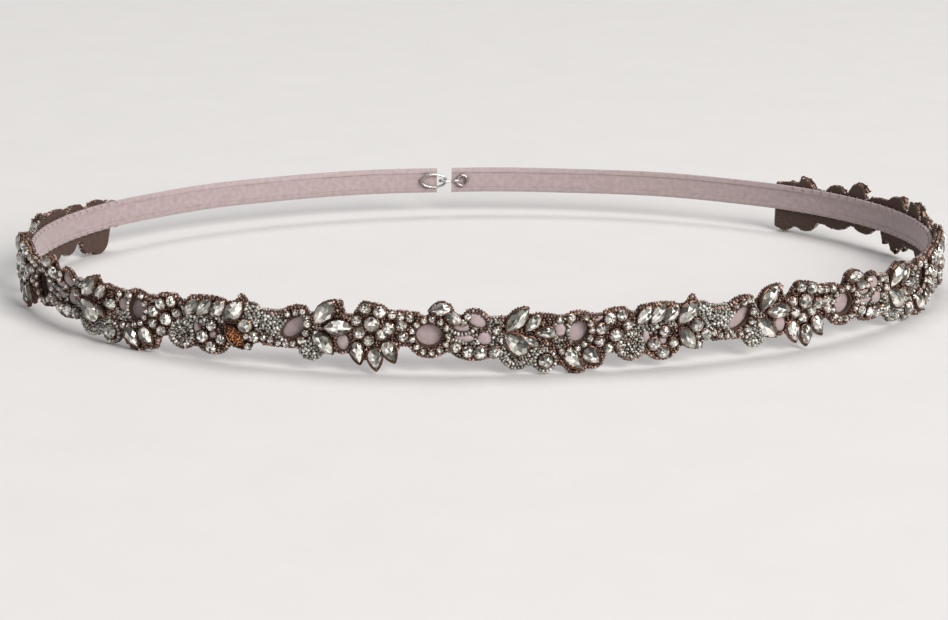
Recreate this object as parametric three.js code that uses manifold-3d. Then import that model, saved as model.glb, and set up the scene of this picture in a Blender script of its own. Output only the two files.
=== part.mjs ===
// Bridal sash: a narrow satin tape that goes once round the waist and hooks together at the centre back.
// A trim of cut-glass stones in rose-coloured settings is sewn over its front and sides. The stones lie on a
// cloth backing, cut to their outline, in a pattern of nine motifs that comes round every 122 mm.
// Millimetres, +Z up. The front of the waist faces -Y, and the origin is the middle of the waist opening, at
// the height of the tape's centre line.
import * as THREE from "three";
import { mergeVertices } from "three/addons/utils/BufferGeometryUtils.js";
import Module from "manifold-3d";

const wasm = await Module();
wasm.setup();

// The trim line is the outline of the waist at the outer face of the trim's backing, seen from above.
const TRIM_LINE = { halfWidth: 135, halfDepth: 92.3 };
const SEAM_GAP = 0.3;
const TAPE = { width: 8.0, thickness: 1.0, gapAtBack: 5, step: 9 };
const BACKING = { thickness: 1.0, margin: 0.4, leastHalf: 3.7, step: 3 };
const REPEAT = 122.2;
const TRIM_REACH = 244;

// Heights are over the backing's outer face. A stone's setting goes straight up to the girdle, and the stone
// slopes in from there to its flat top, which is topShare of its size.
const SETTING = {
  large: { girdle: 1.6, top: 2.8, topShare: 0.5 },
  small: { girdle: 0, top: 2.2, topShare: 0.62 },
  dome: { girdle: 0, top: 2.0, topShare: 0.5 },
  lost: { girdle: 0, top: 1.1, topShare: 0.9 },
};
const LARGE_FROM = 3.4;
const RIM = { width: 1.7, top: 1.7, topShare: 0.45, step: 2.9 };
const LINK = { width: 1.0, top: 0.9 };

// Slivers finer than this, which a join leaves, are merged.
const FINEST = 0.03;

// The closure is bent from one gauge of wire.
const WIRE = { diameter: 0.8, sides: 6 };
const EYE = { from: -0.4, to: 7.6, width: 4.2 };
const HOOK = { from: -7.6, to: -4.2, width: 3.4, tip: 1.5, reach: 0.9 };

// The motifs, in order from left to right. along and up are millimetres from the motif's place on the tape's
// centre line, and turn is in degrees from the line. A navette is pointed at both ends, and a pear at the end
// that turn points to. A rim is a raised row of small stones or beads round an ellipse, from one angle to
// another, and a window is an ellipse where the backing is cut away over the satin.
const round = (along, up, size) => ({ cut: "round", along, up, length: size, width: size, turn: 0 });
const dome = (along, up, size) => ({ cut: "dome", along, up, length: size, width: size, turn: 0 });
const navette = (along, up, length, width, turn) => ({ cut: "navette", along, up, length, width, turn });
const pear = (along, up, length, width, turn) => ({ cut: "pear", along, up, length, width, turn });
const ellipse = (along, up, length, width, turn = 0) => ({ along, up, length, width, turn });
const rim = (along, up, length, width, more = {}) => ({
  ...ellipse(along, up, length, width), from: 0, to: 360, ...more,
});

// Three leaves that meet at one point, over a round cluster.
const spray = {
  name: "spray",
  at: -57.4,
  stones: [
    navette(0, 4.8, 8, 4.5, 50),
    navette(3.5, 0.9, 7.7, 4.3, 0),
    navette(-0.3, -3.5, 8, 4.3, -45),
    dome(-3.6, -5.5, 6.0),
  ],
  rims: [],
  windows: [],
};

// A round stone with seven petals round it and three drops under it.
const PETALS = [
  { turn: 111, reach: 4.7, size: 3.0 },
  { turn: 57, reach: 4.1, size: 3.3 },
  { turn: 172, reach: 4.1, size: 2.6 },
  { turn: 218, reach: 4.3, size: 3.0 },
  { turn: 260, reach: 4.7, size: 2.8 },
  { turn: 309, reach: 4.0, size: 2.8 },
  { turn: 348, reach: 4.8, size: 3.2 },
];
const DROPS = [
  { along: -3.6, up: -6.2, turn: -76 },
  { along: 0.8, up: -7.6, turn: -84 },
  { along: 4.9, up: -5.7, turn: -64 },
];
const HEART = { up: 2.1, size: 4.0 };
const DROP = { length: 6.6, width: 3.9 };
const flower = {
  name: "flower",
  at: -44.9,
  stones: [
    round(0, HEART.up, HEART.size),
    ...PETALS.map(({ turn, reach, size }) => {
      const angle = THREE.MathUtils.degToRad(turn);
      return round(reach * Math.cos(angle), HEART.up + reach * Math.sin(angle), size);
    }),
    ...DROPS.map(({ along, up, turn }) => pear(along, up, DROP.length, DROP.width, turn)),
  ],
  rims: [],
  windows: [],
};

// A ring of small stones round a window, with two leaves on its shoulder.
const ring = {
  name: "ring",
  at: -29.8,
  stones: [
    round(-7.4, 1.6, 2.8),
    round(-6.8, -1.1, 2.7),
    navette(3.0, 6.6, 6, 3.5, 8),
    navette(6.1, 3.9, 5, 3.1, -32),
  ],
  rims: [rim(0.1, -0.9, 9.7, 9.0)],
  windows: [ellipse(0, -0.9, 6.8, 6.0)],
};

// A frame with four round stones along its foot and a padded petal on top.
const frame = {
  name: "frame",
  at: -17.8,
  stones: [
    round(-5.1, -3.8, 2.9),
    round(-1.9, -4.9, 3.2),
    round(1.4, -5.2, 3.5),
    round(5.1, -5.4, 3.1),
    dome(0.3, 3.4, 5.0),
    round(5.8, 0.6, 2.4),
  ],
  rims: [],
  windows: [],
};

// Five leaves on a stem, with a fan of beads and a round cluster under them.
const leaves = {
  name: "leaves",
  at: -5,
  stones: [
    navette(-1.9, 3.7, 8.4, 4.4, 47),
    navette(2.5, 2.7, 5.8, 3.2, 48),
    pear(-2.0, -2.9, 7.8, 5, 140),
    navette(2.0, -2.5, 5, 2.6, -30),
    pear(5.8, -0.1, 5.2, 2.9, 180),
    round(5.9, -7.9, 4.8),
  ],
  rims: [rim(-1.6, -5.2, 7.4, 8.4, { from: 170, to: 330 })],
  windows: [],
};

// A ring of small stones round a window, over two drops.
const oval = {
  name: "oval",
  at: 8.6,
  stones: [
    pear(0, -8.0, 7.0, 4.6, -50),
    pear(4.8, -7.1, 6.2, 4.8, -40),
  ],
  rims: [rim(0.9, -0.6, 7.2, 8.0)],
  windows: [ellipse(1.2, -0.4, 5.8, 4.8, 55)],
};

// Seven round stones, close together.
const rosette = {
  name: "rosette",
  at: 18.2,
  stones: [
    round(-2.3, 0.3, 3.1),
    round(0, 2.8, 3.2),
    round(3.3, 3.6, 3.0),
    round(1.6, -1.3, 3.6),
    round(-0.2, -4.9, 2.8),
    round(-2.6, -3.2, 2.7),
    round(4.8, 0.9, 2.6),
  ],
  rims: [],
  windows: [],
};

// Four slanting leaves over two scallops of beads, with round stones in the second one.
const branch = {
  name: "branch",
  at: 34,
  stones: [
    navette(-6.2, 3.2, 6, 3.5, 49),
    navette(-2.4, 3.4, 6.4, 3.8, 47),
    navette(1.3, 3.4, 6, 3.6, 47),
    navette(6.0, 3.3, 7.5, 4.6, 47),
    navette(6.1, -3.9, 7.4, 4.1, -52),
    round(-3.2, -4.9, 3.4),
    round(-0.5, -7.2, 3.3),
    round(2.2, -4.9, 2.8),
    round(-0.4, -1.6, 3.0),
    round(9.0, -0.6, 3.7),
    round(11.8, -3.4, 3.1),
  ],
  rims: [rim(-9.4, -4.7, 6.0, 6.2)],
  windows: [],
  // On the wearer's right side one stone has come out, and only its setting is left.
  lost: { repeat: -1, stone: 4 },
};

// A slanting window between two rows of small stones, with a cluster beside it.
const bow = {
  name: "bow",
  at: 54.5,
  stones: [dome(-4.2, 0.6, 5.0)],
  rims: [
    rim(2.0, -0.1, 9.8, 6.2, { turn: 40 }),
    rim(-1.6, 0, 11.6, 8.8, { from: 225, to: 290 }),
  ],
  windows: [ellipse(2.0, -0.1, 7.8, 4.0, 40)],
};

const MOTIFS = [spray, flower, ring, frame, leaves, oval, rosette, branch, bow];

// The trim line as a table of lengths, so that a length along it gives its angle round the waist.
const LINE_STEPS = 4000;
const lineLengths = [0];
for (let i = 1; i <= LINE_STEPS; i++) {
  const angle = ((i - 0.5) / LINE_STEPS) * Math.PI;
  const speed = Math.hypot(TRIM_LINE.halfWidth * Math.cos(angle), TRIM_LINE.halfDepth * Math.sin(angle));
  lineLengths.push(lineLengths[i - 1] + (speed * Math.PI) / LINE_STEPS);
}
const HALF_ROUND = lineLengths[LINE_STEPS];

function angleAt(length) {
  const wanted = Math.abs(length);
  let low = 0;
  let high = LINE_STEPS;
  while (high - low > 1) {
    const middle = (low + high) >> 1;
    if (lineLengths[middle] > wanted) high = middle;
    else low = middle;
  }
  const share = (wanted - lineLengths[low]) / (lineLengths[high] - lineLengths[low]);
  return (Math.sign(length) * (low + share) * Math.PI) / LINE_STEPS;
}

// The line's place, its direction and the way out, at a length from the centre front. Plus is the wearer's left.
function lineAt(length) {
  const angle = angleAt(length);
  const { halfWidth, halfDepth } = TRIM_LINE;
  const place = new THREE.Vector3(halfWidth * Math.sin(angle), -halfDepth * Math.cos(angle), 0);
  const ahead = new THREE.Vector3(halfWidth * Math.cos(angle), halfDepth * Math.sin(angle), 0).normalize();
  const out = new THREE.Vector3(ahead.y, -ahead.x, 0);
  return { place, ahead, out };
}

// A point that follows the waist: length along the line, height, and distance out from the line.
function onWaist(length, height, outward) {
  const { place, out } = lineAt(length);
  return place.addScaledVector(out, outward).setZ(height);
}

// A closed solid through rings of points. An open run has flat ends, and a closed one meets itself.
function loft(rings, closed = false) {
  const size = rings[0].length;
  const points = rings.flat();
  const triangles = [];
  const spans = closed ? rings.length : rings.length - 1;
  for (let i = 0; i < spans; i++) {
    const here = i * size;
    const there = ((i + 1) % rings.length) * size;
    for (let j = 0; j < size; j++) {
      const k = (j + 1) % size;
      triangles.push([here + j, here + k, there + k], [here + j, there + k, there + j]);
    }
  }
  if (!closed) {
    const last = (rings.length - 1) * size;
    for (let j = 1; j < size - 1; j++) {
      triangles.push([0, j + 1, j], [last, last + j, last + j + 1]);
    }
  }
  return solidOf(points, triangles);
}

// The triangles are turned over if they face inwards.
function solidOf(points, triangles) {
  let volume = 0;
  for (const [a, b, c] of triangles) volume += points[a].dot(points[b].clone().cross(points[c]));
  const facing = volume < 0 ? triangles.map(([a, b, c]) => [a, c, b]) : triangles;
  return new wasm.Manifold(
    new wasm.Mesh({
      numProp: 3,
      vertProperties: new Float32Array(points.flatMap((point) => point.toArray())),
      triVerts: new Uint32Array(facing.flat()),
    }),
  );
}

function geometryOf(solid) {
  const mesh = solid.getMesh();
  return new THREE.BufferGeometry()
    .setAttribute("position", new THREE.BufferAttribute(new Float32Array(mesh.vertProperties), 3))
    .setIndex(new THREE.BufferAttribute(new Uint32Array(mesh.triVerts), 1));
}

// Turns a point of a piece's own outline into along and up.
function placeOutline(points, { along, up, turn }) {
  const angle = THREE.MathUtils.degToRad(turn);
  return points.map(([x, y]) => [
    along + x * Math.cos(angle) - y * Math.sin(angle),
    up + x * Math.sin(angle) + y * Math.cos(angle),
  ]);
}

// A stone's outline from in front. A navette is two arcs, and a pear is round at one end only. The pear's curve
// narrows towards its point, so it is widened by PEAR_FILL to reach its width.
const PEAR_FILL = 1.25;
function stoneOutline(stone, share = 1) {
  const { cut, length, width } = stone;
  const sides = cut === "round" ? 6 : 8;
  const points = [];
  for (let i = 0; i < sides; i++) {
    const angle = (2 * Math.PI * i) / sides;
    const x = (length / 2) * Math.cos(angle);
    let y = (width / 2) * Math.sin(angle);
    if (cut === "navette") y *= Math.abs(Math.sin(angle));
    if (cut === "pear") y *= PEAR_FILL * Math.sin(angle / 2);
    points.push([share * x, share * y]);
  }
  return placeOutline(points, stone);
}

// Points round an ellipse, from one angle to another, or all the way round.
function ellipseOutline(piece, steps, { from = 0, to = 360 } = {}) {
  const whole = to - from === 360;
  const points = [];
  for (let i = 0; i < steps + (whole ? 0 : 1); i++) {
    const angle = THREE.MathUtils.degToRad(from + ((to - from) * i) / steps);
    points.push([(piece.length / 2) * Math.cos(angle), (piece.width / 2) * Math.sin(angle)]);
  }
  return placeOutline(points, piece);
}

// A rim's line, or a line beside it: side is in rim widths, and plus is outwards.
function rimLine(row, side = 0) {
  const arc = THREE.MathUtils.degToRad(row.to - row.from);
  const steps = Math.round((arc * (row.length + row.width)) / 4 / RIM.step);
  const wider = 2 * side * RIM.width;
  return ellipseOutline({ ...row, length: row.length + wider, width: row.width + wider }, steps, row);
}

// A stone and its setting are flat across, so they stand on the line's tangent at the stone's middle.
function stoneSolid(at, stone, isLost) {
  const { place, ahead, out } = lineAt(at + stone.along);
  const kind = stone.cut === "dome" ? "dome" : stone.width >= LARGE_FROM ? "large" : "small";
  const { girdle, top, topShare } = SETTING[isLost ? "lost" : kind];
  const level = (outward, share) =>
    stoneOutline(stone, share).map(([along, up]) =>
      place
        .clone()
        .addScaledVector(ahead, along - stone.along)
        .addScaledVector(out, outward)
        .setZ(up),
    );
  const levels = [level(SEAM_GAP, 1), level(top, topShare)];
  if (girdle) levels.splice(1, 0, level(girdle, 1));
  return loft(levels);
}

// A raised row is square at its foot and narrower on top.
function rimSolid(at, row) {
  const section = [
    { side: -0.5, outward: SEAM_GAP },
    { side: 0.5, outward: SEAM_GAP },
    { side: RIM.topShare / 2, outward: RIM.top },
    { side: -RIM.topShare / 2, outward: RIM.top },
  ];
  const lines = section.map(({ side, outward }) =>
    rimLine(row, side).map(([along, up]) => onWaist(at + along, up, outward)),
  );
  const rings = lines[0].map((_, i) => lines.map((line) => line[i]));
  return loft(rings, row.to - row.from === 360);
}

// A flat wire under the stones, from one setting to the next.
function linkSolid(at, from, to) {
  const length = Math.hypot(to[0] - from[0], to[1] - from[1]);
  const [sideAlong, sideUp] = [
    (-(to[1] - from[1]) / length) * (LINK.width / 2),
    ((to[0] - from[0]) / length) * (LINK.width / 2),
  ];
  const corners = [
    { side: 1, outward: SEAM_GAP },
    { side: -1, outward: SEAM_GAP },
    { side: -1, outward: LINK.top },
    { side: 1, outward: LINK.top },
  ];
  return loft(
    [from, to].map(([along, up]) =>
      corners.map(({ side, outward }) => onWaist(at + along + side * sideAlong, up + side * sideUp, outward)),
    ),
  );
}

// Joins a motif's stones and rims: each is joined to the nearest one that is already held, by a link if the two
// don't meet by themselves.
const LEAST_OVERLAP = 0.05;
function motifSolid({ motif, repeat, at }) {
  const isLost = (index) => motif.lost?.repeat === repeat && motif.lost.stone === index;
  const parts = [
    ...motif.stones.map((stone, index) => ({
      solid: stoneSolid(at, stone, isLost(index)),
      anchors: [[stone.along, stone.up]],
    })),
    ...motif.rims.map((row) => ({ solid: rimSolid(at, row), anchors: rimLine(row) })),
  ];
  const held = [parts[0]];
  const waiting = parts.slice(1);
  const links = [];
  while (waiting.length) {
    let best = { distance: Infinity };
    for (const part of waiting) {
      for (const other of held) {
        for (const from of part.anchors) {
          for (const to of other.anchors) {
            const distance = Math.hypot(to[0] - from[0], to[1] - from[1]);
            if (distance < best.distance) best = { part, other, from, to, distance };
          }
        }
      }
    }
    const meets = best.part.solid.intersect(best.other.solid).volume() > LEAST_OVERLAP;
    if (!meets) links.push(linkSolid(at, best.from, best.to));
    held.push(best.part);
    waiting.splice(waiting.indexOf(best.part), 1);
  }
  return wasm.Manifold.union([...parts.map((part) => part.solid), ...links]).asOriginal().simplify(FINEST);
}

const placed = [];
for (let repeat = -2; repeat <= 2; repeat++) {
  for (const motif of MOTIFS) {
    const at = motif.at + repeat * REPEAT;
    if (Math.abs(at) < TRIM_REACH) placed.push({ motif, repeat, at });
  }
}

// The backing is cut just outside the stones, so it reaches as far up and down as they do at each length.
const outlines = placed.flatMap(({ motif, at }) =>
  [...motif.stones.map((stone) => stoneOutline(stone)), ...motif.rims.map((row) => rimLine(row, 0.5))].map(
    (outline) => outline.map(([along, up]) => ({ length: at + along, up })),
  ),
);

function trimReachAt(length) {
  let top = BACKING.leastHalf;
  let bottom = -BACKING.leastHalf;
  for (const outline of outlines) {
    outline.forEach((from, i) => {
      const to = outline[(i + 1) % outline.length];
      if ((from.length - length) * (to.length - length) > 0 || from.length === to.length) return;
      const up = from.up + ((to.up - from.up) * (length - from.length)) / (to.length - from.length);
      top = Math.max(top, up + BACKING.margin);
      bottom = Math.min(bottom, up - BACKING.margin);
    });
  }
  return { top, bottom };
}

function windowCutter(at, window) {
  const clear = 0.5;
  const outline = ellipseOutline(window, 10);
  const level = (outward) => outline.map(([along, up]) => onWaist(at + along, up, outward));
  return loft([level(-BACKING.thickness - clear), level(clear)]);
}

function backingSolid() {
  const lengths = outlines.flat().map((point) => point.length);
  const start = Math.min(...lengths) - BACKING.margin;
  const end = Math.max(...lengths) + BACKING.margin;
  const steps = Math.round((end - start) / BACKING.step);
  const rings = [];
  for (let i = 0; i <= steps; i++) {
    const length = start + ((end - start) * i) / steps;
    const near = [-0.5, -0.25, 0, 0.25, 0.5].map((share) => trimReachAt(length + share * BACKING.step));
    const top = Math.max(...near.map((reach) => reach.top));
    const bottom = Math.min(...near.map((reach) => reach.bottom));
    rings.push([
      onWaist(length, bottom, -BACKING.thickness),
      onWaist(length, bottom, 0),
      onWaist(length, top, 0),
      onWaist(length, top, -BACKING.thickness),
    ]);
  }
  const cutters = placed.flatMap(({ motif, at }) => motif.windows.map((window) => windowCutter(at, window)));
  return loft(rings).subtract(wasm.Manifold.union(cutters)).asOriginal().simplify(FINEST);
}

// The tape lies inside the backing, all the way round to its two ends at the centre back.
const TAPE_OUTER = -BACKING.thickness - SEAM_GAP;
const TAPE_INNER = TAPE_OUTER - TAPE.thickness;
function tapeSolid() {
  const end = HALF_ROUND - TAPE.gapAtBack / 2;
  const steps = Math.round((2 * end) / TAPE.step);
  const rings = [];
  for (let i = 0; i <= steps; i++) {
    const length = -end + (2 * end * i) / steps;
    rings.push([
      onWaist(length, -TAPE.width / 2, TAPE_INNER),
      onWaist(length, -TAPE.width / 2, TAPE_OUTER),
      onWaist(length, TAPE.width / 2, TAPE_OUTER),
      onWaist(length, TAPE.width / 2, TAPE_INNER),
    ]);
  }
  return loft(rings);
}

// The hook and eye lie on the inside of the tape's ends. Points beside the centre back: across is towards the
// wearer's right, and outward is away from the waist.
const BACK = lineAt(HALF_ROUND);
const WIRE_OUTWARD = TAPE_INNER - SEAM_GAP - WIRE.diameter / 2;
const atBack = (across, height, outward) =>
  BACK.place.clone().addScaledVector(BACK.ahead, across).addScaledVector(BACK.out, outward).setZ(height);

function solidOfGeometry(geometry) {
  geometry.deleteAttribute("normal");
  geometry.deleteAttribute("uv");
  const merged = mergeVertices(geometry, 1e-3);
  return new wasm.Manifold(
    new wasm.Mesh({
      numProp: 3,
      vertProperties: merged.getAttribute("position").array,
      triVerts: new Uint32Array(merged.getIndex().array),
    }),
  );
}

// An oval loop of wire that lies flat against the tape.
function wireLoop({ from, to, width }) {
  const points = [];
  const corners = 12;
  for (let i = 0; i < corners; i++) {
    const angle = (2 * Math.PI * i) / corners;
    const across = (from + to) / 2 + ((to - from) / 2) * Math.cos(angle);
    points.push(atBack(across, (width / 2) * Math.sin(angle), WIRE_OUTWARD));
  }
  const path = new THREE.CatmullRomCurve3(points, true);
  return solidOfGeometry(new THREE.TubeGeometry(path, 14, WIRE.diameter / 2, WIRE.sides, true));
}

// The hook runs from its loop over the eye's near end, down through the eye and back under that end.
function hookSolid() {
  const clear = WIRE.diameter + SEAM_GAP;
  const path = new THREE.CatmullRomCurve3([
    atBack(HOOK.to - 0.2, 0, WIRE_OUTWARD),
    atBack(EYE.from - 2.8, 0, WIRE_OUTWARD - 0.3),
    atBack(EYE.from - 1, 0, WIRE_OUTWARD - clear),
    atBack(HOOK.tip - 1.1, 0, WIRE_OUTWARD - clear - 0.1),
    atBack(HOOK.tip, 0, WIRE_OUTWARD - 0.4),
    atBack(HOOK.tip, 0, WIRE_OUTWARD + 0.6),
    atBack(HOOK.tip - 1, 0, WIRE_OUTWARD + clear),
    atBack(-HOOK.reach, 0, WIRE_OUTWARD + clear + 0.1),
  ]);
  const section = new THREE.Shape();
  section.absarc(0, 0, WIRE.diameter / 2, 0, 2 * Math.PI);
  const beak = new THREE.ExtrudeGeometry(section, { steps: 12, curveSegments: WIRE.sides / 2, extrudePath: path });
  return wireLoop(HOOK).add(solidOfGeometry(beak)).asOriginal().simplify(FINEST);
}

const satin = new THREE.MeshStandardMaterial({ color: 0xbfa39c, roughness: 0.45 });
const backingCloth = new THREE.MeshStandardMaterial({ color: 0x523f37, roughness: 0.9 });
const glass = new THREE.MeshStandardMaterial({ color: 0xc9ccc6, roughness: 0.12, metalness: 0.4 });
const steel = new THREE.MeshStandardMaterial({ color: 0xa9a39b, roughness: 0.35, metalness: 1 });

const sash = new THREE.Group();
function addPiece(name, solid, material) {
  const mesh = new THREE.Mesh(geometryOf(solid), material);
  mesh.name = name;
  sash.add(mesh);
}

addPiece("tape", tapeSolid(), satin);
addPiece("backing", backingSolid(), backingCloth);
const counts = {};
for (const place of placed) {
  const { name } = place.motif;
  counts[name] = (counts[name] ?? 0) + 1;
  addPiece(`${name}_${counts[name]}`, motifSolid(place), glass.clone());
}
addPiece("hook", hookSolid(), steel);
addPiece("eye", wireLoop(EYE), steel.clone());

export default sash;
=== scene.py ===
"""A bridal sash: cut-glass stones in rose metal settings, sewn on a cloth backing over a narrow satin tape.

Charts are in millimetres. along is a length round the waist from the centre front, plus to the wearer's left,
up is a height over the tape's centre line, and out is a distance out from the backing's outer face.
"""

import math
import random

import bpy
import numpy as np
from bpy.props import FloatProperty, FloatVectorProperty, IntProperty, PointerProperty
from mathutils import Matrix, Vector
from mathutils.geometry import delaunay_2d_cdt


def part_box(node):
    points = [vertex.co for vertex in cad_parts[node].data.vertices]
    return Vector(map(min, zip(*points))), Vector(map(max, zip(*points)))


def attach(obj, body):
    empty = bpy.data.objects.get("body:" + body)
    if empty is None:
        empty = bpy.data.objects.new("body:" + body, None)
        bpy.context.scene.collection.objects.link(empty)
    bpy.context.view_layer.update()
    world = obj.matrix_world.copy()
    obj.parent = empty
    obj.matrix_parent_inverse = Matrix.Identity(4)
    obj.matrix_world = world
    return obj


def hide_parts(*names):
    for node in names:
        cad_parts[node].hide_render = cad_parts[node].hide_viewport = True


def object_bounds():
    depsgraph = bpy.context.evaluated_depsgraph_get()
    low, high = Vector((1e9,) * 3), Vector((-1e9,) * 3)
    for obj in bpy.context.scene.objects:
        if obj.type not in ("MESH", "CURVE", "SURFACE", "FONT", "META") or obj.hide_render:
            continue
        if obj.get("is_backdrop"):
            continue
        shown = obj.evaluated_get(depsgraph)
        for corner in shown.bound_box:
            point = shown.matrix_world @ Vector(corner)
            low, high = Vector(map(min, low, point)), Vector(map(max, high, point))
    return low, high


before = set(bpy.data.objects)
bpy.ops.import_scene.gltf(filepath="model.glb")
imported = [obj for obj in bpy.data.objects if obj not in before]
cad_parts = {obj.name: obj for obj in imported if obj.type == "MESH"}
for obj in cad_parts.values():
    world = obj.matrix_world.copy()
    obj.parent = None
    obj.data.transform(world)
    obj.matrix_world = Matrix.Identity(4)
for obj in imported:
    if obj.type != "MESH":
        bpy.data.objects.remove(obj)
CAD_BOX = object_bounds()

bl_info = {
    "name": "Bridal Sash",
    "version": (1, 0, 0),
    "blender": (4, 5, 0),
    "location": "3D View > Sidebar > Bridal Sash",
    "description": "Makes a bridal sash with a trim of stones, beads and rose metal settings",
    "category": "Object",
}

MM = 0.001
BODY = "root"

# Heights of the layers, counted out from the backing's outer face.
SEAM_GAP = 0.3
BACKING_THICKNESS = 1.0
TAPE_THICKNESS = 1.0
TAPE_OUTER = -BACKING_THICKNESS - SEAM_GAP
TAPE_INNER = TAPE_OUTER - TAPE_THICKNESS

tape_low, tape_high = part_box("tape")
HALF_WIDTH = (tape_high.x - tape_low.x) / 2 / MM - TAPE_OUTER
HALF_DEPTH = -tape_low.y / MM - TAPE_OUTER
TAPE_WIDTH = (tape_high.z - tape_low.z) / MM

# The hook's and the eye's loops, beside the centre back.
WIRE_HOOK_FROM = -7.6
WIRE_HOOK_WIDTH = 3.4
WIRE_EYE_TO = 7.6
WIRE_EYE_WIDTH = 4.2

# The trim's pattern comes round every REPEAT, and its chart is drawn over a base line of its own.
REPEAT = 122.2
TRIM_REACH = 244
BASE_LINE = -4.4

# The cloth's texture is laid out in centimetres.
TEXTURE_SCALE = 0.1

# A pointed stone's width falls to nothing as this power of a sine, and a lower power is blunter. PEAR_FILL
# widens a pear's round end.
STONE_POINT = 0.9
SETTING_POINT = 0.62
PEAR_FILL = 1.25


# The pattern's chart


def stone(cut, along, up, length, width=None, turn=0.0, tip=0.15):
    """A stone in a setting. A navette is pointed at both ends, and a pear at the end that turn points to.

    tip is how far the setting reaches beyond each pointed end.
    """
    width = width or length
    return {"cut": cut, "along": along, "up": up, "length": length, "width": width, "turn": turn, "tip": tip}


def alike(cut, *rows):
    """Stones of one cut, a row for each: along, up, length, width, turn and tip."""
    return [stone(cut, *row) for row in rows]


def ellipse(along, up, length, width, turn=0.0):
    return {"along": along, "up": up, "length": length, "width": width, "turn": turn}


def cluster(kind, along, up, length, width, turn=0.0):
    """A domed heap of beads."""
    return {"kind": kind, **ellipse(along, up, length, width, turn)}


def arc(kind, along, up, length, width, start=0.0, end=360.0, turn=0.0):
    """A row of beads or chain stones round an ellipse, from one angle to another."""
    return {"kind": kind, "start": start, "end": end, **ellipse(along, up, length, width, turn)}


def run(kind, *points):
    """A row of beads or chain stones through points."""
    return {"kind": kind, "points": points}


def make_motif(at, stones, rows, **others):
    """A motif of the pattern. Lists not given are empty, and lost tells which stone has fallen out."""
    empty = {"clusters": [], "patches": [], "windows": [], "greys": [], "lost": {}}
    return {"at": at, "stones": stones, "rows": rows, **empty, **others}


SPRAY = make_motif(
    at=-57.4,
    stones=[
        *alike("navette", (-57.4, 9.2, 8, 4.5, 50), (-53.9, 5.3, 7.7, 4.3, 0), (-57.7, 0.9, 8, 4.3, -45)),
        *alike("chain", (-62.0, 5.6, 2.2), (-62.4, 3.1, 1.9), (-63.7, 1.1, 2.2)),
    ],
    rows=[
        arc("rose", -52.8, 0.9, 5.0, 5.4, 215, 335),
        run("rose", (-59.6, 4.6), (-56.8, 4.8)),
        run("rose", (-52.5, 8.2), (-50.6, 7.6)),
    ],
    clusters=[cluster("clear", -61.0, -1.1, 6.4, 6.4), cluster("rose", -53.6, 11.0, 2.0, 3.0, -10)],
    patches=[ellipse(-52.6, 1.0, 3.4, 4.2, 15)],
    greys=[ellipse(-61.4, 2.5, 7, 14)],
)

FLOWER = make_motif(
    at=-44.9,
    stones=[
        *alike("round", (-44.9, 6.5, 4.0), (-46.6, 10.9, 3.1), (-42.8, 9.9, 3.4), (-49.1, 7.1, 2.7),
            (-48.3, 3.9, 3.1), (-45.7, 1.9, 2.9), (-42.4, 3.6, 2.9), (-40.2, 5.5, 3.3)),
        *alike("pear", (-48.6, -1.4, 5.7, 3.7, -76, 0.5), (-44.1, -2.8, 5.7, 3.8, -84, 0.6),
            (-40.2, -0.9, 5.7, 3.7, -64, 0.5)),
    ],
    rows=[
        arc("rose", -45.0, 8.0, 9.2, 7.0, 28, 152),
        run("rose", (-50.4, 5.2), (-50.4, 2.6)),
        run("rose", (-38.4, 2.2), (-38.6, -1.6)),
        run("rose", (-46.4, -0.6), (-46.3, -2.6)),
        run("rose", (-42.2, 0.4), (-42.0, -2.2)),
    ],
)

RING = make_motif(
    at=-29.8,
    stones=[
        *alike("chain", (-39.5, 9.0, 2.2), (-37.4, 8.6, 2.1)),
        *alike("round", (-37.2, 6.0, 2.8), (-36.6, 3.3, 2.7)),
        *alike("chain", (-34.9, 8.4, 2.2)),
        *alike("navette", (-26.8, 11.0, 6, 3.5, 8), (-23.7, 8.3, 5, 3.1, -32)),
    ],
    rows=[
        arc("chain", -29.7, 3.6, 9.6, 9.0),
        arc("rose", -29.7, 3.4, 11.8, 11.2, 175, 345),
        run("rose", (-38.6, 9.6), (-36.0, 9.6), (-32.6, 9.2)),
        run("rose", (-25.6, 6.9), (-23.4, 6.6)),
    ],
    windows=[ellipse(-29.8, 3.6, 6.8, 5.8)],
    greys=[ellipse(-36.6, 5.5, 5, 5)],
)

FRAME = make_motif(
    at=-17.8,
    stones=[
        *alike("round", (-22.9, 0.6, 2.9), (-19.7, -0.5, 3.2), (-16.4, -0.8, 3.5), (-12.7, -1.0, 3.1)),
        *alike("chain", (-20.7, 7.2, 1.7), (-19.9, 8.8, 1.9)),
        *alike("round", (-12.0, 5.0, 2.4)),
    ],
    rows=[
        arc("clear", -21.2, 8.6, 9.4, 9.0, 222, 318),
        arc("rose", -17.3, 7.8, 6.6, 4.6, 0, 200, -30),
        arc("rose", -17.9, 1.6, 13.6, 9.0, 206, 326),
        run("clear", (-23.6, 2.6), (-21.0, 2.0)),
        run("clear", (-13.6, 7.6), (-11.2, 7.2)),
        run("clear", (-12.9, 3.2), (-11.0, 2.2)),
        run("rose", (-24.4, 6.6), (-22.6, 7.6)),
    ],
    patches=[
        ellipse(-21.3, 5.9, 4.6, 2.4, -8),
        ellipse(-20.5, 2.8, 5.4, 2.2),
        ellipse(-15.1, 2.8, 4.0, 3.6),
        ellipse(-17.3, 7.7, 5.4, 3.4, -30),
    ],
    greys=[ellipse(-12.4, 5, 5, 10), ellipse(-19, 1, 14, 6)],
)

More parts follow.
